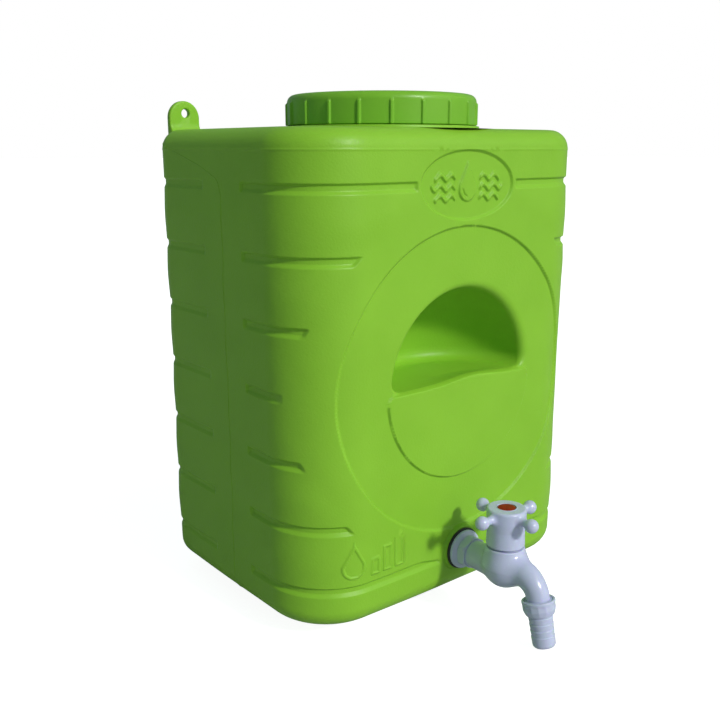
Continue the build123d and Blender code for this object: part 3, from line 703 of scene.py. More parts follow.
def wall_mesh(coarse, hole_count):
    """Points in the unrolled plane and triangles, with the recess's patch left open."""
    columns, rows = wall_lattice(coarse)
    grid = np.stack(np.meshgrid(columns, rows), -1).reshape(-1, 2)
    hole = hole_outline(hole_count)
    hole_st = front_points(hole[:, 0], hole[:, 1])
    points = [lattice_kept(grid, coarse), panel_points(coarse)]
    if not coarse:
        points.append(groove_end_points())
    points = np.concatenate(points)
    centre = hole_st.mean(0)
    guard = centre + (hole_st - centre) * 1.02
    points = points[~inside_loop(points, guard)]
    cell = 0.28 if not coarse else 0.8
    order = np.unique(np.round(points / cell).astype(int), axis=0, return_index=True)[1]
    border = (points[:, 0] <= 0) | (points[:, 0] >= PERIMETER) | (points[:, 1] <= T_LOW) | (points[:, 1] >= T_HIGH)
    order = np.union1d(order, np.flatnonzero(border))
    points = np.concatenate([hole_st, points[np.sort(order)]])
    n = len(hole_st)
    edges = [(i, (i + 1) % n) for i in range(n)]
    result = delaunay_2d_cdt([Vector(p) for p in points], edges, [], 0, 1e-4)
    source = np.array([ids[0] if ids else -1 for ids in result[3]])
    found = np.array([tuple(v) for v in result[0]])
    final = np.where(source[:, None] >= 0, points[source], found)
    tris = np.array([f for f in result[2] if len(f) == 3])
    middle = final[tris].mean(1)
    near = (np.abs(middle[:, 0] - S_MIDDLE) < 100) & (np.abs(middle[:, 1] - PANEL_Z) < 100)
    inside = np.zeros(len(tris), bool)
    inside[near] = inside_loop(middle[near], hole_st)
    return final, tris[~inside]


# ==== Tank: the soap recess, found along rays from a point in front of it ====

RECESS_EYE = np.array((0.0, FRONT_Y - 45.0, RECESS_FLOOR_Z + 28.0))
RECESS_POLE = np.array((0.0, FRONT_Y + 66.0, RECESS_FLOOR_Z + 22.0))
FLOOR_BLEND = 12.0
LIP_BLEND = 3.0
ARCH_BLEND_LEFT = 3.6
ARCH_BLEND_RIGHT = 8.0


def recess_field(p, fine=True):
    """Positive in the air, negative in the tank, for places near the recess."""
    x, y, z = p[..., 0], p[..., 1], p[..., 2]
    outer = FRONT_Y + relief(x, FRONT_Y + 0 * y, z, fine) - y
    ball = np.sqrt(x * x + (y - FRONT_Y) ** 2 + (z - RECESS_FLOOR_Z) ** 2) - RECESS_R
    lip = lip_crown(x) * (1 - ramp(FRONT_Y - 2, FRONT_Y + 26, y))
    floor = RECESS_FLOOR_Z + lip - z
    cavity = smooth_max(ball, floor, FLOOR_BLEND)
    up = ramp(-4, 14, z - RECESS_FLOOR_Z)
    right = ramp(-50, 45, x)
    k = LIP_BLEND + (ARCH_BLEND_LEFT + (ARCH_BLEND_RIGHT - ARCH_BLEND_LEFT) * right - LIP_BLEND) * up
    return smooth_max(outer, -cavity, k)


def field_normal(field, p):
    step = 0.12
    parts = []
    for axis in range(3):
        d = np.zeros(3)
        d[axis] = step
        parts.append(field(p + d) - field(p - d))
    return unit(np.stack(parts, -1))


def cast(origin, direction, field, reach=240.0):
    """Distance along each ray to the field's first zero."""
    t = np.full(direction.shape[:-1], 30.0)
    for _ in range(90):
        t = np.minimum(t + 0.55 * field(origin + direction * t[..., None]), reach)
    return t


def recess_mesh(loop_points, fine=True):
    """Rings of points from the patch's edge to the back of the recess, and one middle point."""
    def field(p):
        return recess_field(p, fine)

    rim = unit(loop_points - RECESS_EYE)
    pole = unit(RECESS_POLE - RECESS_EYE)
    share = np.linspace(0, 1, 120)[:, None, None]
    rays = unit(rim[None] * (1 - share) + pole * share)
    hits = RECESS_EYE + rays * cast(RECESS_EYE, rays, field)[..., None]
    gaps = np.linalg.norm(np.diff(hits, axis=0), axis=-1)
    length = np.vstack([np.zeros(len(rim)), np.cumsum(gaps, 0)])
    close, far = (0.95, 2.6) if fine else (3.5, 8.0)
    weight = 1 / (close + (far - close) * ramp(16, 34, length))
    mass = np.vstack([np.zeros(len(rim)), np.cumsum((weight[1:] + weight[:-1]) / 2 * gaps, 0)])
    rings = int(mass[-1].mean())
    picked = np.empty((rings, len(rim)))
    for j in range(len(rim)):
        goal = np.linspace(0, mass[-1, j], rings + 1)[:-1]
        picked[:, j] = np.interp(goal, mass[:, j], share[:, 0, 0])
    rays = unit(rim[None] * (1 - picked[..., None]) + pole * picked[..., None])
    hits = RECESS_EYE + rays * cast(RECESS_EYE, rays, field)[..., None]
    hits[0] = loop_points
    last = RECESS_EYE + pole * cast(RECESS_EYE, pole[None], field)[..., None]
    points = np.concatenate([hits.reshape(-1, 3), last])
    faces = grid_faces(rings, len(rim))
    tip = len(points) - 1
    base = (rings - 1) * len(rim)
    faces += [(base + j, base + (j + 1) % len(rim), tip) for j in range(len(rim))]
    return points, faces, field_normal(field, points)


# ==== Tank: putting the shell together ====


def turn_of(point):
    return (math.atan2(point[1] - NECK_Y, point[0]) / TAU) % 1.0


def ordered_loop(indices, verts):
    loop = sorted((turn_of(verts[i]), i) for i in indices)
    return [(i, turn) for turn, i in loop]


def ring_points(radius, z, count):
    a = even_angles(count)
    return np.stack([radius * np.cos(a), NECK_Y + radius * np.sin(a), np.full(count, z)], -1)


NECK_COUNT = 150


def neck_rings():
    """Radius and height pairs from the shoulder, over the collar and neck, down the bore."""
    lip_r = 1.2
    rings = [(96.0, TANK_H), (86.0, TANK_H), (COLLAR_R + 1.6, TANK_H), (COLLAR_R + 0.5, TANK_H + 0.35)]
    rings += [(COLLAR_R, TANK_H + 1.0), (COLLAR_R, COLLAR_TOP_Z - 0.7)]
    rings += [(COLLAR_R - 0.2, COLLAR_TOP_Z - 0.2), (COLLAR_R - 0.7, COLLAR_TOP_Z), (76.0, COLLAR_TOP_Z)]
    rings += [(NECK_R + 1.2, COLLAR_TOP_Z), (NECK_R + 0.35, COLLAR_TOP_Z + 0.35), (NECK_R, COLLAR_TOP_Z + 1.2)]
    rings += [(NECK_R, z) for z in (378.5, 382.5, 386.5, 390.5, NECK_TOP_Z - lip_r)]
    for a in (30, 60, 90):
        turn = math.radians(a)
        rings.append((NECK_R - lip_r * (1 - math.cos(turn)), NECK_TOP_Z - lip_r * (1 - math.sin(turn))))
    for a in (90, 60, 30, 0):
        turn = math.radians(a)
        rings.append((NECK_BORE_R + lip_r * (1 - math.cos(turn)), NECK_TOP_Z - lip_r * (1 - math.sin(turn))))
    rings += [(NECK_BORE_R, z) for z in (387.5, 380.5, 374.5, TANK_H - WALL + 2.5)]
    rings += [(NECK_BORE_R + 0.7, TANK_H - WALL + 0.7), (NECK_BORE_R + 2.5, TANK_H - WALL)]
    return rings


def floor_rings(z, dish):
    """Shrinking copies of the plan, a little dished, for the underside: (scale, height)."""
    return [(0.93, z + 0.25 * dish), (0.84, z + dish), (0.6, z + dish), (0.35, z + dish), (0.12, z + dish)]


def shell_side(coarse):
    """One surface of the shell's wall, recess included: vertices, faces, normals, end loops."""
    count = HOLE_COUNT if not coarse else 90
    flat, tris = wall_mesh(coarse, count)
    s, t = flat.T
    verts = wall_point(s, t, not coarse)
    normals = wall_normal(s, t, not coarse)
    hole = hole_outline(count)
    loop = wall_point(front_s(hole[:, 0]), hole[:, 1], not coarse)
    more, patch, patch_normals = recess_mesh(loop, not coarse)
    faces = [tuple(f) for f in tris] + [tuple(len(verts) + i for i in f) for f in patch]
    verts = np.concatenate([verts, more])
    normals = np.concatenate([normals, patch_normals])
    key = np.round(verts / 0.002).astype(np.int64)
    _, first, back = np.unique(key, axis=0, return_index=True, return_inverse=True)
    back = back.ravel()
    faces = [tuple(back[i] for i in f) for f in faces]
    faces = [f for f in faces if len(set(f)) == len(f)]
    verts, normals = verts[first], normals[first]
    if coarse:
        verts = verts - normals * WALL
    low = {back[i] for i in np.flatnonzero(t <= T_LOW + 1e-6)}
    high = {back[i] for i in np.flatnonzero(t >= T_HIGH - 1e-6)}
    return verts, faces, normals, low, high


def tank_shell():
    """The blown shell: outer wall, underside, shoulder, collar, neck and bore, and inner wall."""
    outer, faces, normals, low, high = shell_side(False)
    inner, inner_faces, inner_normals, inner_low, inner_high = shell_side(True)
    verts = [outer]
    all_normals = [normals]
    base = len(outer)
    faces = list(faces)
    faces += [tuple(base + i for i in f[::-1]) for f in inner_faces]
    verts.append(inner)
    all_normals.append(-inner_normals)
    count = base + len(inner)

    def add(points):
        nonlocal count
        start = count
        verts.append(points)
        all_normals.append(np.full(points.shape, np.nan))
        count += len(points)
        return [(start + i, turn) for i, turn in enumerate(turn_of(p) for p in points)]

    def by_turn(loop):
        return sorted(loop, key=lambda item: item[1])

    top = ordered_loop(high, outer)
    for r, z in neck_rings():
        ring = by_turn(add(ring_points(r, z, NECK_COUNT)))
        faces += stitch(top, ring)
        top = ring
    inner_top = [(base + i, turn) for i, turn in ordered_loop(inner_high, inner)]
    faces += stitch(top, by_turn(inner_top))
    for chosen, source, shift, flip, z, dish in (
        (low, outer, 0, True, 0.0, 1.6),
        (inner_low, inner, base, False, WALL, 1.6),
    ):
        loop = [(shift + i, turn) for i, turn in ordered_loop(chosen, source)]
        edge = np.array([source[i - shift] for i, _ in loop])
        for scale, height in floor_rings(z, dish):
            points = edge * (scale, scale, 0) + (0, 0, height)
            ring = add(points)
            ring = [(ring[k][0], loop[k][1]) for k in range(len(ring))]
            band = stitch(loop, ring)
            faces += [f[::-1] for f in band] if flip else band
            loop = ring
        tip = add(np.array([(0.0, 0.0, z + dish)]))[0][0]
        fan = [(loop[k][0], loop[(k + 1) % len(loop)][0], tip) for k in range(len(loop))]
        faces += [f[::-1] for f in fan] if flip else fan
    return np.concatenate(verts), faces, np.concatenate(all_normals)


# ==== Materials ====


def base_nodes(name):
    material = bpy.data.materials.new(name)
    material.use_nodes = True
    tree = material.node_tree
    return material, tree, tree.nodes["Principled BSDF"]


def noise(tree, coords, scale, detail=2.0, rough=0.5):
    node = tree.nodes.new("ShaderNodeTexNoise")
    node.inputs["Scale"].default_value = scale
    node.inputs["Detail"].default_value = detail
    node.inputs["Roughness"].default_value = rough
    tree.links.new(coords, node.inputs["Vector"])
    return node.outputs["Fac"]


def remap(tree, value, low, high, to_low, to_high):
    node = tree.nodes.new("ShaderNodeMapRange")
    for name, number in (("From Min", low), ("From Max", high), ("To Min", to_low), ("To Max", to_high)):
        node.inputs[name].default_value = number
    tree.links.new(value, node.inputs["Value"])
    return node.outputs["Result"]


def mixed(tree, amount, first, second):
    node = tree.nodes.new("ShaderNodeMix")
    node.data_type = "RGBA"
    tree.links.new(amount, node.inputs["Factor"])
    for socket, value in ((node.inputs["A"], first), (node.inputs["B"], second)):
        if isinstance(value, tuple):
            socket.default_value = (*value, 1)
        else:
            tree.links.new(value, socket)
    return node.outputs["Result"]


def bumped(tree, height, distance, strength, before=None):
    node = tree.nodes.new("ShaderNodeBump")
    node.inputs["Distance"].default_value = distance
    node.inputs["Strength"].default_value = strength
    tree.links.new(height, node.inputs["Height"])
    if before is not None:
        tree.links.new(before, node.inputs["Normal"])
    return node.outputs["Normal"]


def plastic(name, light, dark, rough, peel, peel_size, grain=0.0, soft=0.0, gloss=0.5, cloud=18.0):
    """Moulded plastic: clouded colour, uneven gloss, orange peel and a finer grain."""
    material, tree, shader = base_nodes(name)
    coords = tree.nodes.new("ShaderNodeTexCoord").outputs["Object"]
    clouds = remap(tree, noise(tree, coords, cloud, 3.0), 0.35, 0.65, 0.0, 1.0)
    fine = noise(tree, coords, 1 / peel_size, 2.0, 0.6)
    tone = mixed(tree, clouds, light, dark)
    tree.links.new(tone, shader.inputs["Base Color"])
    spots = noise(tree, coords, 2.2 / peel_size, 3.0, 0.7)
    tree.links.new(remap(tree, spots, 0.3, 0.7, rough - 0.06, rough + 0.08), shader.inputs["Roughness"])
    normal = bumped(tree, fine, peel, 1.0)
    if grain:
        normal = bumped(tree, spots, grain, 1.0, normal)
    tree.links.new(normal, shader.inputs["Normal"])
    shader.inputs["IOR"].default_value = 1.5
    shader.inputs["Specular IOR Level"].default_value = gloss
    if soft:
        shader.inputs["Subsurface Weight"].default_value = soft
        shader.inputs["Subsurface Radius"].default_value = (0.5, 1.0, 0.25)
        shader.inputs["Subsurface Scale"].default_value = 0.003
    return material


def brushed_steel(name):
    material, tree, shader = base_nodes(name)
    coords = tree.nodes.new("ShaderNodeTexCoord").outputs["Object"]
    stretch = tree.nodes.new("ShaderNodeMapping")
    stretch.inputs["Scale"].default_value = (1, 1, 12)
    tree.links.new(coords, stretch.inputs["Vector"])
    lines = noise(tree, stretch.outputs["Vector"], 900.0, 3.0)
    tree.links.new(mixed(tree, lines, (0.55, 0.55, 0.56), (0.70, 0.70, 0.71)), shader.inputs["Base Color"])
    tree.links.new(remap(tree, lines, 0.3, 0.7, 0.22, 0.38), shader.inputs["Roughness"])
    tree.links.new(bumped(tree, lines, 0.00002, 1.0), shader.inputs["Normal"])
    shader.inputs["Metallic"].default_value = 1.0
    return material


TANK_GREEN = plastic(
    "tank_green", (0.250, 0.535, 0.034), (0.234, 0.508, 0.030), 0.40, 0.00016, 0.0016, 0.00004, soft=0.12, gloss=0.28
)
LID_GREEN = plastic(
    "lid_green", (0.200, 0.488, 0.032), (0.186, 0.460, 0.028), 0.33, 0.00005, 0.0022, 0.00002, soft=0.10, gloss=0.32
)
TAP_WHITE = plastic(
    "tap_white", (0.545, 0.585, 0.79), (0.53, 0.565, 0.76), 0.22, 0.00003, 0.0030, 0.0, soft=0.25
)
BUTTON_RED = plastic(
    "button_red", (0.34, 0.016, 0.008), (0.22, 0.010, 0.005), 0.42, 0.00004, 0.0014, gloss=0.12, cloud=420.0
)
RUBBER = plastic("rubber_black", (0.020, 0.020, 0.021), (0.030, 0.030, 0.031), 0.62, 0.00005, 0.0008, 0.00003)
STEEL = brushed_steel("screw_steel")
SLOT_MATERIALS = {
    "tank_green": TANK_GREEN,
    "lid_green": LID_GREEN,
    "tap_white": TAP_WHITE,
    "button_red": BUTTON_RED,
    "rubber_black": RUBBER,
    "screw_steel": STEEL,
}


def dress_cad_nodes():
    """Gives every CAD node its procedural material; those that are replaced stay hidden."""
    for part in frame["record"]["subparts"]:
        node = frame["nodes"][part["node"]]
        material = SLOT_MATERIALS[part["material_slot"]]
        if node.material_slots:
            for slot in node.material_slots:
                slot.link = "OBJECT"
                slot.material = material


# ==== Shapes given by a distance field ====


def outline_distance(r, z, outline):
    """Signed distance to a closed outline in the r, z plane, negative inside."""
    outline = np.asarray(outline)
    best = np.full(r.shape, 1e9)
    inside = np.zeros(r.shape, bool)
    for a, b in zip(outline, np.roll(outline, -1, 0)):
        ex, ez = b - a
        wx, wz = r - a[0], z - a[1]
        t = np.clip((wx * ex + wz * ez) / max(ex * ex + ez * ez, 1e-12), 0, 1)
        best = np.minimum(best, (wx - ex * t) ** 2 + (wz - ez * t) ** 2)
        if a[1] != b[1]:
            crosses = (a[1] > z) != (b[1] > z)
            inside ^= crosses & (r < a[0] + (z - a[1]) * ex / (b[1] - a[1]))
    return np.where(inside, -1, 1) * np.sqrt(best)


def path_distance(points, path, radii):
    """Distance to a tube of varying radius along a path."""
    best = np.full(len(points), 1e9)
    for i in range(len(path) - 1):
        a, b = path[i], path[i + 1]
        t = np.clip((points - a) @ (b - a) / ((b - a) @ (b - a)), 0, 1)
        gap = np.linalg.norm(points - a - t[:, None] * (b - a), axis=1)
        best = np.minimum(best, gap - radii[i] - (radii[i + 1] - radii[i]) * t)
    return best


def tube(path, radii, count=32):
    """A closed tube along a path that bends in one plane."""
    path = np.asarray(path, float)
    tangent = unit(np.gradient(path, axis=0))
    side = unit(np.cross(tangent, (1.0, 0.0, 0.0)))
    a = even_angles(count)
    rows = [
        p + r * (np.cos(a)[:, None] * (1.0, 0.0, 0.0) + np.sin(a)[:, None] * s)
        for p, r, s in zip(path, radii, side)
    ]
    verts = np.concatenate(rows + [path[:1], path[-1:]])
    faces = grid_faces(len(path), count)
    n = len(path) * count
    faces += [((j + 1) % count, j, n) for j in range(count)]
    faces += [(n - count + j, n - count + (j + 1) % count, n + 1) for j in range(count)]
    return verts, faces


def remeshed(verts, faces, voxel):
    mesh = bpy.data.meshes.new("crude")
    mesh.from_pydata((verts * MM).tolist(), [], outward(verts, faces))
    crude = bpy.data.objects.new("crude", mesh)
    bpy.context.collection.objects.link(crude)
    remesh = crude.modifiers.new("remesh", "REMESH")
    remesh.mode = "VOXEL"
    remesh.voxel_size = voxel * MM
    done = crude.evaluated_get(bpy.context.evaluated_depsgraph_get()).to_mesh()
    points = np.empty(len(done.vertices) * 3)
    done.vertices.foreach_get("co", points)
    polygons = [tuple(p.vertices) for p in done.polygons]
    bpy.data.objects.remove(crude)
    bpy.data.meshes.remove(mesh)
    return points.reshape(-1, 3) / MM, polygons


def settle(points, field, rounds):
    """Moves points onto the field's zero surface."""
    for _ in range(rounds):
        value = field(points)
        points = points - field_normal(field, points) * np.clip(value, -1.5, 1.5)[:, None]
    return points


def relax(points, polygons, field, rounds=7):
    """Evens out a remeshed surface while it stays on the field."""
    edges = np.array(sorted({(min(a, b), max(a, b)) for f in polygons for a, b in zip(f, f[1:] + f[:1])}))
    degree = np.zeros(len(points))
    np.add.at(degree, edges.ravel(), 1)
    points = settle(points, field, 6)
    for _ in range(rounds):
        total = np.zeros_like(points)
        np.add.at(total, edges[:, 0], points[edges[:, 1]])
        np.add.at(total, edges[:, 1], points[edges[:, 0]])
        points = settle(points + 0.5 * (total / degree[:, None] - points), field, 2)
    return settle(points, field, 3)


# ==== Pieces of the tank ====


def solid_turned(axis, outline, angles, shape=None):
    """A solid of revolution whose outline starts and ends on the axis."""
    outline = np.array(outline)
    inner = outline[1:-1]
    r = inner[:, :1] * np.ones((1, len(angles)))
    z = inner[:, 1:] * np.ones((1, len(angles)))
    a = np.ones((len(inner), 1)) * angles[None, :]
    if shape is not None:
        r = shape(r, z, a)
    points = np.stack([r * np.cos(a), r * np.sin(a), z], -1).reshape(-1, 3)
    n = len(angles)
    faces = grid_faces(len(inner), n)
    first, last = len(points), len(points) + 1
    points = np.concatenate([points, [(0, 0, outline[0][1])], [(0, 0, outline[-1][1])]])
    faces += [((j + 1) % n, j, first) for j in range(n)]
    base = (len(inner) - 1) * n
    faces += [(base + j, base + (j + 1) % n, last) for j in range(n)]
    return axis.out(points), faces


def to_axis(outline):
    """The outline up to its return to the axis, for solid_turned."""
    return outline[: next(i for i, p in enumerate(outline) if i > 3 and p[0] <= 1e-6) + 1]


def make_shell():
    verts, faces, normals = tank_shell()
    make_piece(
        "tank_shell", verts, outward(verts, faces), TANK_GREEN, "root", "tank_body", normals
    )


def make_neck_thread():
    shape = helix_ridge(neck_axis, NECK_R, 2.2, 4.2, 2.0, 10.0, 378.5, 1.25, per_turn=150)
    make_solid("tank_neck_thread", shape, TANK_GREEN, "root", "tank_body")


LUG_X = 121.0
LUG_HALF_W = 13.75
LUG_BASE_Z = 353.5
LUG_THICK = 5.0
HOLE_X = 120.0
HOLE_Z = 385.5
HOLE_R = 3.6


def lug_reach(angle, side):
    """From the hole's middle to the lug's outline, along an angle in the x, z plane."""
    dx, dz = math.cos(angle), math.sin(angle)
    ox = side * (HOLE_X - LUG_X)
    top = tank_high[2] - LUG_HALF_W
    hits = []
    for sx in (-1, 1):
        if dx * sx > 1e-9:
            t = (sx * LUG_HALF_W - ox) / dx
            if HOLE_Z + t * dz <= top:
                hits.append(t)
    if dz < -1e-9:
        hits.append((LUG_BASE_Z - HOLE_Z) / dz)
    px, pz = ox, HOLE_Z - top
    b = px * dx + pz * dz
    root = b * b - (px * px + pz * pz - LUG_HALF_W**2)
    if root > 0:
        t = -b + math.sqrt(root)
        if pz + t * dz >= -1e-9:
            hits.append(t)
    return min(h for h in hits if h > 0)


def make_lug(side):
    """A hanging lug: rounded edges, a countersunk hole and a foot that thickens into the shoulder."""
    count = 120
    angles = even_angles(count)
    rows = []
    edge = 1.5
    for a in angles:
        reach = lug_reach(a, side)
        d = np.array((math.cos(a), math.sin(a)))
        ring = [(HOLE_R, LUG_THICK - 1.0), (HOLE_R, 2.2), (HOLE_R, 0.9), (HOLE_R + 0.3, 0.3), (HOLE_R + 0.9, 0.0)]
        inner, outer = HOLE_R + 0.9, reach - edge
        ring += [(inner + (outer - inner) * k / 6, 0.0) for k in range(1, 7)]
        for k in range(1, 5):
            turn = k * math.pi / 8
            ring.append((reach - edge + edge * math.sin(turn), edge - edge * math.cos(turn)))
        ring += [(reach, 3.0), (reach, LUG_THICK - 0.6), (reach - 0.2, LUG_THICK - 0.15), (reach - 0.6, LUG_THICK)]
        ring += [(reach - (reach - HOLE_R - 0.8) * k / 5, LUG_THICK) for k in range(1, 5)]
        ring += [(HOLE_R + 0.5, LUG_THICK), (HOLE_R, LUG_THICK - 0.4)]
        for radius, depth in ring:
            x = side * HOLE_X + radius * d[0]
            z = HOLE_Z + radius * d[1]
            foot = 7.0 * (1 - ramp(363.5, 377.0, z)) * (1 - depth / LUG_THICK)
            rows.append((x, BACK_Y - LUG_THICK + depth - foot, z))
    k = len(rows) // count
    faces = grid_faces(count, k, closed_rows=True)
    verts = np.array(rows)
    name = "tank_lug_left" if side < 0 else "tank_lug_right"
    make_piece(name, verts, outward(verts, faces), TANK_GREEN, "root", "tank_body")


def bead_shape(path, normals, half, proud, sunk=0.8):
    """A thin raised line on a surface, as a closed tube with four corners."""
    tangent = unit(np.gradient(path, axis=0))
    across = unit(np.cross(tangent, normals))
    rows = []
    for p, n, c in zip(path, normals, across):
        side, crest, peak = c * half, c * half * 0.35, n * proud
        rows += [p - n * sunk, p + side, p + crest + peak, p - crest + peak, p - side]
    faces = grid_faces(len(path), 5)
    faces.append((4, 3, 2, 1, 0))
    base = (len(path) - 1) * 5
    faces.append(tuple(base + i for i in range(5)))
    verts = np.array(rows)
    return verts, outward(verts, faces)


def make_parting_line():
    """The mould's parting line: up both sides, back to the lugs, and across the underside."""
    middle = S_SIDE + BACK_Y - REAR_R
    corners = [(middle, T_LOW), (middle, 323.5), (middle - 5, 334.5), (middle - 30, 344.0), (S_REAR + 18, 363.5)]
    st = []
    for (s0, t0), (s1, t1) in zip(corners, corners[1:]):
        n = max(2, int(math.hypot(s1 - s0, t1 - t0) / 1.5))
        st += [(s0 + (s1 - s0) * k / n, t0 + (t1 - t0) * k / n) for k in range(n)]
    st = np.array(st + [corners[-1]])
    kernel = np.ones(5) / 5
    for c in range(2):
        st[2:-2, c] = np.convolve(st[:, c], kernel, "valid")
    left = wall_point(st[:, 0], st[:, 1])
    left_n = wall_normal(st[:, 0], st[:, 1])
    x = np.linspace(-HALF_W + BOTTOM_R, HALF_W - BOTTOM_R, 120)[1:-1]
    share = np.abs(x) / (HALF_W - BOTTOM_R)
    rings = [(1.0, 0.0)] + floor_rings(0.0, 1.6)
    z = np.interp(share, [r[0] for r in rings][::-1], [r[1] for r in rings][::-1])
    under = np.stack([x, 0 * x, z], -1)
    under_n = np.tile((0.0, 0.0, -1.0), (len(x), 1))
    flip = np.array((-1.0, 1.0, 1.0))
    path = np.concatenate([left[::-1], under, left * flip])
    normals = np.concatenate([left_n[::-1], under_n, left_n * flip])
    verts, faces = bead_shape(path, normals, 0.42, 0.26)
    make_piece("tank_parting_line", verts, faces, TANK_GREEN, "root", "tank_body")


# ==== Lid ====

LID_R = 77.5
LID_BORE_R = 75.0
RIB_COUNT = 20
RIB_START = math.radians(1.0)
RIB_PROUD = 1.5
RIB_TOP_Z = 392.9


def lid_angles():
    """Angles that gather at the grip ribs."""
    pitch = TAU / RIB_COUNT
    near = np.array((-2.2, -1.75, -1.4, -1.1, -0.8, -0.4, 0, 0.4, 0.8, 1.1, 1.4, 1.75, 2.2)) / LID_R
    gap = np.linspace(near[-1], pitch + near[0], 8)[1:-1]
    return np.concatenate([RIB_START + k * pitch + np.concatenate([near, gap]) for k in range(RIB_COUNT)])


def lid_ribs(r, z, a):
    pitch = TAU / RIB_COUNT
    off = ((a - RIB_START + pitch / 2) % pitch - pitch / 2) * LID_R
    rib = RIB_PROUD * (1 - ramp(0.75, 1.65, np.abs(off)))
    below_top = 1 - ramp(RIB_TOP_Z - 1.6, RIB_TOP_Z + 0.6, z)
    outer = ramp(LID_R - 1.2, LID_R - 0.2, r)
    return r + rib * below_top * outer


def make_lid():
    low, high = lid_low[2], lid_high[2]
    top = [(0, high - 0.6, 0), (28, high - 0.6, 0.8), (30, high - 1.3, 0.8), (62, high - 1.3, 1.0)]
    top += [(64.0, high, 1.0), (LID_R, high, 6.0)]
    wall = [(LID_R, low + 10, 0), (LID_R, low, 0.8), (LID_BORE_R, low, 0.6)]
    under = [(LID_BORE_R, high - 3.0, 1.0), (0, high - 3.0, 0)]
    corners = top + wall + under
    points = to_axis(spread(rounded(corners, 7), 3.0))
    extra = sorted({round(z, 3) for z in np.arange(RIB_TOP_Z - 2, RIB_TOP_Z + 1.2, 0.4)})
    done = []
    for a, b in zip(points, points[1:]):
        done.append(a)
        if a[0] > LID_R - 0.01 and b[0] > LID_R - 0.01 and a[1] > b[1]:
            done += [np.array((LID_R, z)) for z in extra[::-1] if b[1] < z < a[1]]
    done.append(points[-1])
    verts, faces = solid_turned(neck_axis, done, lid_angles(), lid_ribs)
    make_piece("lid_cap", verts, outward(verts, faces), LID_GREEN, "screw_lid", "lid")
    thread = helix_ridge(neck_axis, LID_BORE_R, -2.4, 4.2, 2.0, 10.0, 377.9, 1.0, 90.0, per_turn=150)
    make_solid("lid_thread", thread, LID_GREEN, "screw_lid", "lid")


# ==== Tap ====

BULB_R = 18.0
BULB_MIDDLE = np.array((0.0, VALVE_Y - 1.4, 40.6))
SHOULDER = math.radians(12)
SHOULDER_Z = 56.2
CHAMBER_R = 12.4
CHAMBER_TOP_Z = 59.5
INLET_NECK_R = 10.9
SPOUT_Z = 39.7
SPOUT_BEND_R = 18.0
TILT = math.asin(-SPOUT_DOWN[1])


def spout_path():
    """The spout's centreline from the bulb to the thread, and its radius along the way."""
    bend_y = SPOUT_END[1] + (SPOUT_Z - SPOUT_END[2]) * math.tan(TILT)
    turn = math.pi / 2 - TILT
    reach = SPOUT_BEND_R * math.tan(turn / 2)
    start = np.array((0, VALVE_Y, SPOUT_Z))
    centre = np.array((0, bend_y + reach, SPOUT_Z - SPOUT_BEND_R))
    arc = [centre + SPOUT_BEND_R * np.array((0, -math.sin(a), math.cos(a))) for a in np.linspace(0, turn, 22)]
    straight = [start + (arc[0] - start) * k / 8 for k in range(8)]
    end = SPOUT_END + 2.0 * SPOUT_DOWN
    last = [arc[-1] + (end - arc[-1]) * k / 6 for k in range(1, 7)]
    path = np.array(straight + arc + last)
    length = np.concatenate([[0], np.cumsum(np.linalg.norm(np.diff(path, axis=0), axis=1))])
    return path, 9.0 + 1.8 * (1 - ramp(8, 40, length))


def make_tap_body():
    """Bulb, inlet neck and spout blended into one casting, with the bonnet's chamber in it."""
    side = np.linspace(0, SHOULDER, 8)
    belly = [(BULB_R * math.cos(a), BULB_MIDDLE[2] + BULB_R * math.sin(a)) for a in side]
    shoulder_r = belly[-1][0] - (SHOULDER_Z - belly[-1][1]) * math.tan(SHOULDER)
    cone = [(0, belly[0][1])] + belly + [(shoulder_r, SHOULDER_Z), (0, SHOULDER_Z)]
    chamber = [(0, INLET_Z), (CHAMBER_R, INLET_Z), (CHAMBER_R, CHAMBER_TOP_Z), (0, CHAMBER_TOP_Z)]
    path, radii = spout_path()
    neck_start = np.array((0, PAD_Y - 9.0, INLET_Z))
    neck_path = np.linspace(neck_start, (0, VALVE_Y, INLET_Z), 6)
    neck_radii = np.linspace(INLET_NECK_R, INLET_NECK_R + 1.5, 6)

    def field(p):
        away = valve_axis.into(p)
        r, z = np.hypot(away[:, 0], away[:, 1]), away[:, 2]
        ball = np.linalg.norm(p - BULB_MIDDLE, axis=1) - BULB_R
        bulb = smooth_min(ball, outline_distance(r, z, cone), 2.0)
        neck = path_distance(p, neck_path, neck_radii)
        neck = smooth_max(neck, p[:, 1] - neck_start[1], 0.6)
        tip = spout_axis.into(p)[:, 2] - 2.0
        spout = smooth_max(path_distance(p, path, radii), tip, 0.5)
        body = smooth_min(smooth_min(bulb, neck, 4.5), spout, 5.5)
        body = smooth_max(body, z - SHOULDER_Z, 1.2)
        return np.minimum(body, outline_distance(r, z, chamber))

    turns = np.linspace(-1.3, SHOULDER, 24)
    lower = [(BULB_R * math.cos(a), BULB_MIDDLE[2] + BULB_R * math.sin(a)) for a in turns]
    bulb = [(0, CHAMBER_TOP_Z), (CHAMBER_R, CHAMBER_TOP_Z), (CHAMBER_R, SHOULDER_Z), (shoulder_r, SHOULDER_Z)]
    bulb += lower[::-1] + [(0, BULB_MIDDLE[2] - BULB_R)]
    crude = (solid_turned(valve_axis, bulb, even_angles(48)), tube(path, radii), tube(neck_path, neck_radii))
    verts, faces = join_shapes(*((v, outward(v, f)) for v, f in crude))
    points, polygons = remeshed(verts, faces, 0.62)
    points = relax(points, polygons, field)
    normals = field_normal(field, points)
    make_piece("tap_bulb_and_spout", points, polygons, TAP_WHITE, "root", "tap_body", normals)


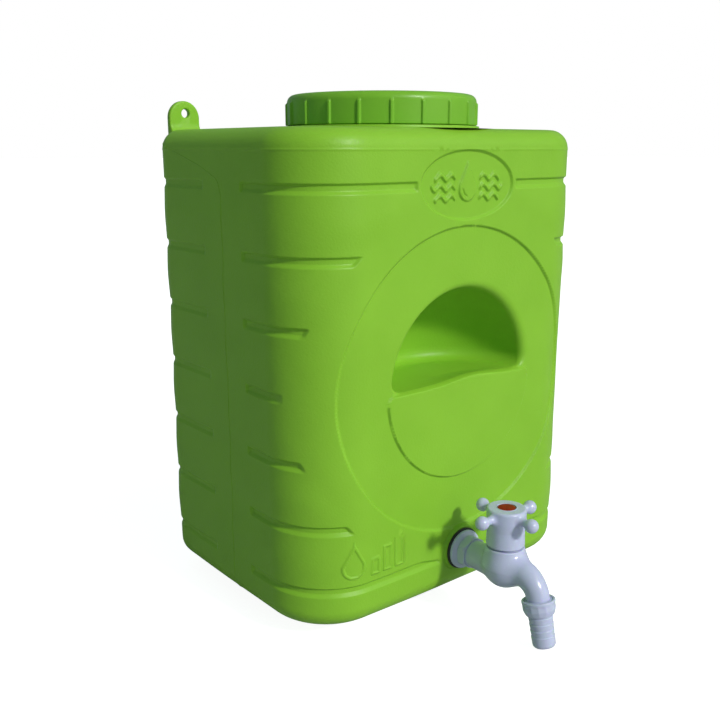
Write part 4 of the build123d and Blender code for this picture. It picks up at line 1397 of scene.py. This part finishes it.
def make_tap_inlet():
    corners = [
        (5.0, -21.2, 0.4), (10.4, -21.2, 0.6), (10.4, 2.0, 0), (16.1, 2.0, 0.5), (16.1, 4.3, 0.9),
        (14.2, 5.4, 0.8), (12.0, 6.8, 1.0), (10.9, 13.0, 0), (5.0, 13.0, 0),
    ]
    shape = turned(inlet_axis, spread(rounded(corners, 5), 1.6), even_angles(128))
    make_solid("tap_inlet", shape, TAP_WHITE, "root", "tap_body")
    corners = [
        (8.0, 6.4, 0), (12.6, 6.4, 0.3), (13.6, 7.6, 0.8), (13.6, 12.6, 0.8), (12.4, 14.2, 0.4), (8.0, 14.2, 0),
    ]

    def six_sided(r, z, a):
        off = (a + math.pi / 6) % (math.pi / 3) - math.pi / 6
        flat = 12.3 / np.cos(off)
        return np.where(r > 9, smooth_min(r, flat + 0 * r, 0.5), r)

    shape = turned(inlet_axis, spread(rounded(corners, 4), 0.9), even_angles(144), six_sided)
    make_solid("tap_spanner_flats", shape, TAP_WHITE, "root", "tap_body")


def make_spout_thread():
    corners = [
        (0, 0.2, 0), (10.6, 0.2, 0.3), (10.6, 1.2, 0.3), (9.3, 1.5, 0.2), (9.3, 6.6, 0.5),
        (4.8, 6.6, 0.4), (4.8, 2.6, 0.4), (0, 2.6, 0),
    ]
    points = to_axis(spread(rounded(corners, 4), 1.2))
    shape = solid_turned(spout_axis, points, even_angles(96))
    make_solid("tap_spout_end", shape, TAP_WHITE, "root", "tap_body")
    thread = helix_ridge(spout_axis, 9.3, 1.15, 1.0, 0.35, 1.8, 2.2, 2.1, per_turn=72)
    make_solid("tap_spout_thread", thread, TAP_WHITE, "root", "tap_body")


def make_outer_gasket():
    thick = gasket_high[1] - gasket_low[1]
    corners = [(10.7, 0, 0.2), (17.1, 0, 0.4), (17.4, thick / 2, 1.0), (17.1, thick, 0.4), (10.7, thick, 0.2)]
    shape = turned(inlet_axis, spread(rounded(corners, 4), 1.5), even_angles(112))
    make_solid("tap_gasket_ring", shape, RUBBER, "root", "tap_outer_gasket")


HUB_R = 15.4
ARM_COUNT = 4
ARM_CLOCK = math.radians(-2.5)
ARM_Z = 81.2
ARM_START = 13.0
BALL_OFFSET = 26.0
BALL_R = 5.4
BUTTON_R = 7.15
BUTTON_FLOOR_Z = 85.5
HUB_CEILING_Z = 78.0
SKIRT_BORE_R = 12.9


def make_handle():
    low, high = handle_low[2], handle_high[2]
    corners = [
        (SKIRT_BORE_R, low, 0.3), (14.4, low, 0.3), (15.1, low + 1.0, 0.5), (14.8, 66.0, 4.0), (14.7, 71.0, 4.0),
        (HUB_R, 78.5, 3.0), (HUB_R, high, 1.9), (8.25, high, 0.15), (8.1, high + 0.3, 0.2),
        (7.5, high + 0.3, 0.2), (7.25, BUTTON_FLOOR_Z, 0), (0, BUTTON_FLOOR_Z, 0),
        (0, HUB_CEILING_Z, 0), (SKIRT_BORE_R, HUB_CEILING_Z, 0.5),
    ]
    outline = rounded(corners, 6)
    turns = [ARM_CLOCK + k * TAU / ARM_COUNT for k in range(ARM_COUNT)]
    arms = []
    for turn in turns:
        d = np.array((math.cos(turn), math.sin(turn), 0))
        at = np.array((0, VALVE_Y, ARM_Z))
        arms.append(np.array([at + d * r for r in (ARM_START, 18.5, 21.0, BALL_OFFSET)]))
    radii = (4.4, 3.15, 3.0, 3.0)

    def field(p):
        away = valve_axis.into(p)
        hub = outline_distance(np.hypot(away[:, 0], away[:, 1]), away[:, 2], outline)
        for path in arms:
            arm = path_distance(p, path, radii)
            ball = np.linalg.norm(p - path[-1], axis=1) - BALL_R
            hub = smooth_min(hub, smooth_min(arm, ball, 2.2), 2.6)
        return hub

    hub_shape = turned(valve_axis, [(max(r, 0.4), z) for r, z, _ in corners], even_angles(64))
    parts = [hub_shape]
    for path in arms:
        d = unit(path[-1] - path[0])
        side = Axis(path[-1], (0, 0, 1), d)
        stem = [(0, -13.5), (3.4, -13.5), (2.9, -4.4)]
        ball = [(BALL_R * math.sin(a), -BALL_R * math.cos(a)) for a in np.linspace(0.6, 3.0, 12)]
        parts.append(solid_turned(side, stem + ball + [(0, BALL_R)], even_angles(24)))
    parts = [(v, outward(v, f)) for v, f in parts]
    verts, faces = join_shapes(*parts)
    points, polygons = remeshed(verts, faces, 0.55)
    points = relax(points, polygons, field, 5)
    make_piece(
        "tap_cross_handle", points, polygons, TAP_WHITE, "handle", "cross_handle",
        field_normal(field, points),
    )


def make_button():
    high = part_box("handle_button")[1][2] / MM
    corners = [
        (0, high, 0), (4.5, high - 0.02, 3.0), (BUTTON_R - 0.35, high - 0.35, 0.5),
        (BUTTON_R, BUTTON_FLOOR_Z, 0.1), (0, BUTTON_FLOOR_Z, 0),
    ]
    points = to_axis(spread(rounded(corners, 5), 1.0))
    shape = solid_turned(valve_axis, points, even_angles(72))
    make_solid("tap_button", shape, BUTTON_RED, "handle", "handle_button")


NUT_LENGTH = 11.5
NUT_R = 12.9
NUT_BORE_R = 10.9
NUT_FOOT_BORE_R = 9.45
NUT_BORE_DEPTH = 9.6
NUT_TAPER_START = 7.0
NUT_FACETS = 14
NUT_FACET_R = 12.35
TAIL_R = 9.4
TAIL_BORE_R = 5.7
TAIL_END = 36.9
BARB_COUNT = 4
BARB_PITCH = 4.9
BARB_START = 13.0
BARB_TAPER = 0.4


def make_nut():
    corners = [
        (NUT_BORE_R, 0.2, 0.25), (NUT_R, 0, 0.7), (NUT_R, NUT_TAPER_START, 2.0), (10.8, NUT_LENGTH, 0.7),
        (NUT_FOOT_BORE_R, NUT_LENGTH, 0.3), (NUT_FOOT_BORE_R, NUT_BORE_DEPTH, 0.2),
        (NUT_BORE_R, NUT_BORE_DEPTH, 0.3),
    ]

    def facets(r, z, a):
        part = TAU / NUT_FACETS
        off = (a + part / 2) % part - part / 2
        flat = NUT_FACET_R / np.cos(off) - 0.3 * np.maximum(z - NUT_TAPER_START, 0)
        cut = smooth_min(r, flat, 0.35)
        share = ramp(1.9, 2.9, z) * (r > 11.2)
        return r + (cut - r) * share

    shape = turned(spout_axis, spread(rounded(corners, 5), 0.8), even_angles(NUT_FACETS * 16), facets)
    make_solid("tap_nut_shell", shape, TAP_WHITE, "nut", "coupling_nut")
    thread = helix_ridge(spout_axis, NUT_BORE_R, -1.05, 1.0, 0.35, 1.8, 3.1, 2.4, per_turn=72)
    make_solid("tap_nut_thread", thread, TAP_WHITE, "nut", "coupling_nut")


def make_hose_tail():
    corners = [
        (TAIL_BORE_R, 8.1, 0.2), (10.3, 8.1, 0.2), (10.3, 9.5, 0.2), (TAIL_R, 9.6, 0), (TAIL_R, 12.6, 0.3),
    ]
    for k in range(BARB_COUNT):
        r = TAIL_R - BARB_TAPER * k / BARB_COUNT
        z = BARB_START + BARB_PITCH * k
        corners += [(r - 0.45, z, 0.25), (r, z + 0.5, 0.25)]
    corners += [(8.85, 32.4, 0.3), (8.9, TAIL_END, 2.8), (TAIL_BORE_R, TAIL_END, 0.6)]
    shape = turned(spout_axis, spread(rounded(corners, 5), 1.0), even_angles(112))
    make_solid("tap_hose_tail", shape, TAP_WHITE, "tail", "hose_tail")


# ==== Stage ====


def staged(name, verts, faces):
    mesh = bpy.data.meshes.new(name)
    mesh.from_pydata((np.asarray(verts, float) * MM).tolist(), [], faces)
    material, tree, shader = base_nodes(name)
    coords = tree.nodes.new("ShaderNodeTexCoord").outputs["Object"]
    pale = mixed(tree, noise(tree, coords, 3.0), (0.42, 0.44, 0.44), (0.44, 0.46, 0.46))
    tree.links.new(pale, shader.inputs["Base Color"])
    shader.inputs["Roughness"].default_value = 0.8
    shader.inputs["Emission Color"].default_value = (1, 1, 1, 1)
    ray = tree.nodes.new("ShaderNodeLightPath").outputs["Is Camera Ray"]
    tree.links.new(remap(tree, ray, 0.0, 1.0, 0.0, 0.92), shader.inputs["Emission Strength"])
    mesh.materials.append(material)
    thing = bpy.data.objects.new(name, mesh)
    bpy.context.collection.objects.link(thing)


def make_stage():
    floor_z = NOZZLE_Z - 1.0
    reach = 30000.0
    flat = [(-reach, -reach, floor_z), (reach, -reach, floor_z), (reach, reach, floor_z), (-reach, reach, floor_z)]
    staged("floor", flat, [(0, 1, 2, 3)])
    inset, bend, corner_steps = 34.0, 26.0, 12
    plan = []
    for cx, cy, start in ((1, -1, -90), (1, 1, 0), (-1, 1, 90), (-1, -1, 180)):
        px, py = cx * (HALF_W - inset - bend), cy * (BACK_Y - inset - bend)
        for k in range(corner_steps + 1):
            a = math.radians(start + 90 * k / corner_steps)
            plan.append((px + bend * math.cos(a), py + bend * math.sin(a)))
    n = len(plan)
    verts = [(x, y, floor_z) for x, y in plan] + [(x, y, -0.2) for x, y in plan]
    faces = [(i, (i + 1) % n, n + (i + 1) % n, n + i) for i in range(n)]
    faces += [tuple(range(n - 1, -1, -1)), tuple(range(n, 2 * n))]
    staged("plinth", verts, faces)


# Each light: name, energy, width of its disc in degrees, direction of travel.
SUNS = (("key", 2.15, 6, (-0.12, 1.0, -0.66)), ("fill", 0.75, 70, (-0.45, 1.0, -0.50)))


def make_lights():
    scene = bpy.context.scene
    scene.view_settings.view_transform = "Standard"
    for name, energy, width, travel in SUNS:
        sun = bpy.data.lights.new(name, "SUN")
        sun.energy = energy
        sun.angle = math.radians(width)
        sun.color = (1.0, 0.985, 0.95)
        lamp = bpy.data.objects.new(name, sun)
        lamp.rotation_euler = Vector(travel).to_track_quat("-Z", "Y").to_euler()
        bpy.context.collection.objects.link(lamp)
    world = bpy.data.worlds.new("studio")
    world.use_nodes = True
    tree = world.node_tree
    light = tree.nodes["Background"]
    light.inputs["Color"].default_value = (0.74, 0.96, 1.0, 1)
    light.inputs["Strength"].default_value = 0.24
    seen = tree.nodes.new("ShaderNodeBackground")
    seen.inputs["Color"].default_value = (1, 1, 1, 1)
    seen.inputs["Strength"].default_value = 1.0
    mix = tree.nodes.new("ShaderNodeMixShader")
    ray = tree.nodes.new("ShaderNodeLightPath")
    tree.links.new(ray.outputs["Is Camera Ray"], mix.inputs["Fac"])
    tree.links.new(light.outputs[0], mix.inputs[1])
    tree.links.new(seen.outputs[0], mix.inputs[2])
    tree.links.new(mix.outputs[0], tree.nodes["World Output"].inputs["Surface"])
    scene.world = world


# ==== Everything ====

dress_cad_nodes()
make_shell()
make_neck_thread()
make_lug(-1)
make_lug(1)
make_parting_line()
make_lid()
make_tap_body()
make_tap_inlet()
make_spout_thread()
make_outer_gasket()
make_handle()
make_button()
make_nut()
make_hose_tail()
make_stage()
make_lights()
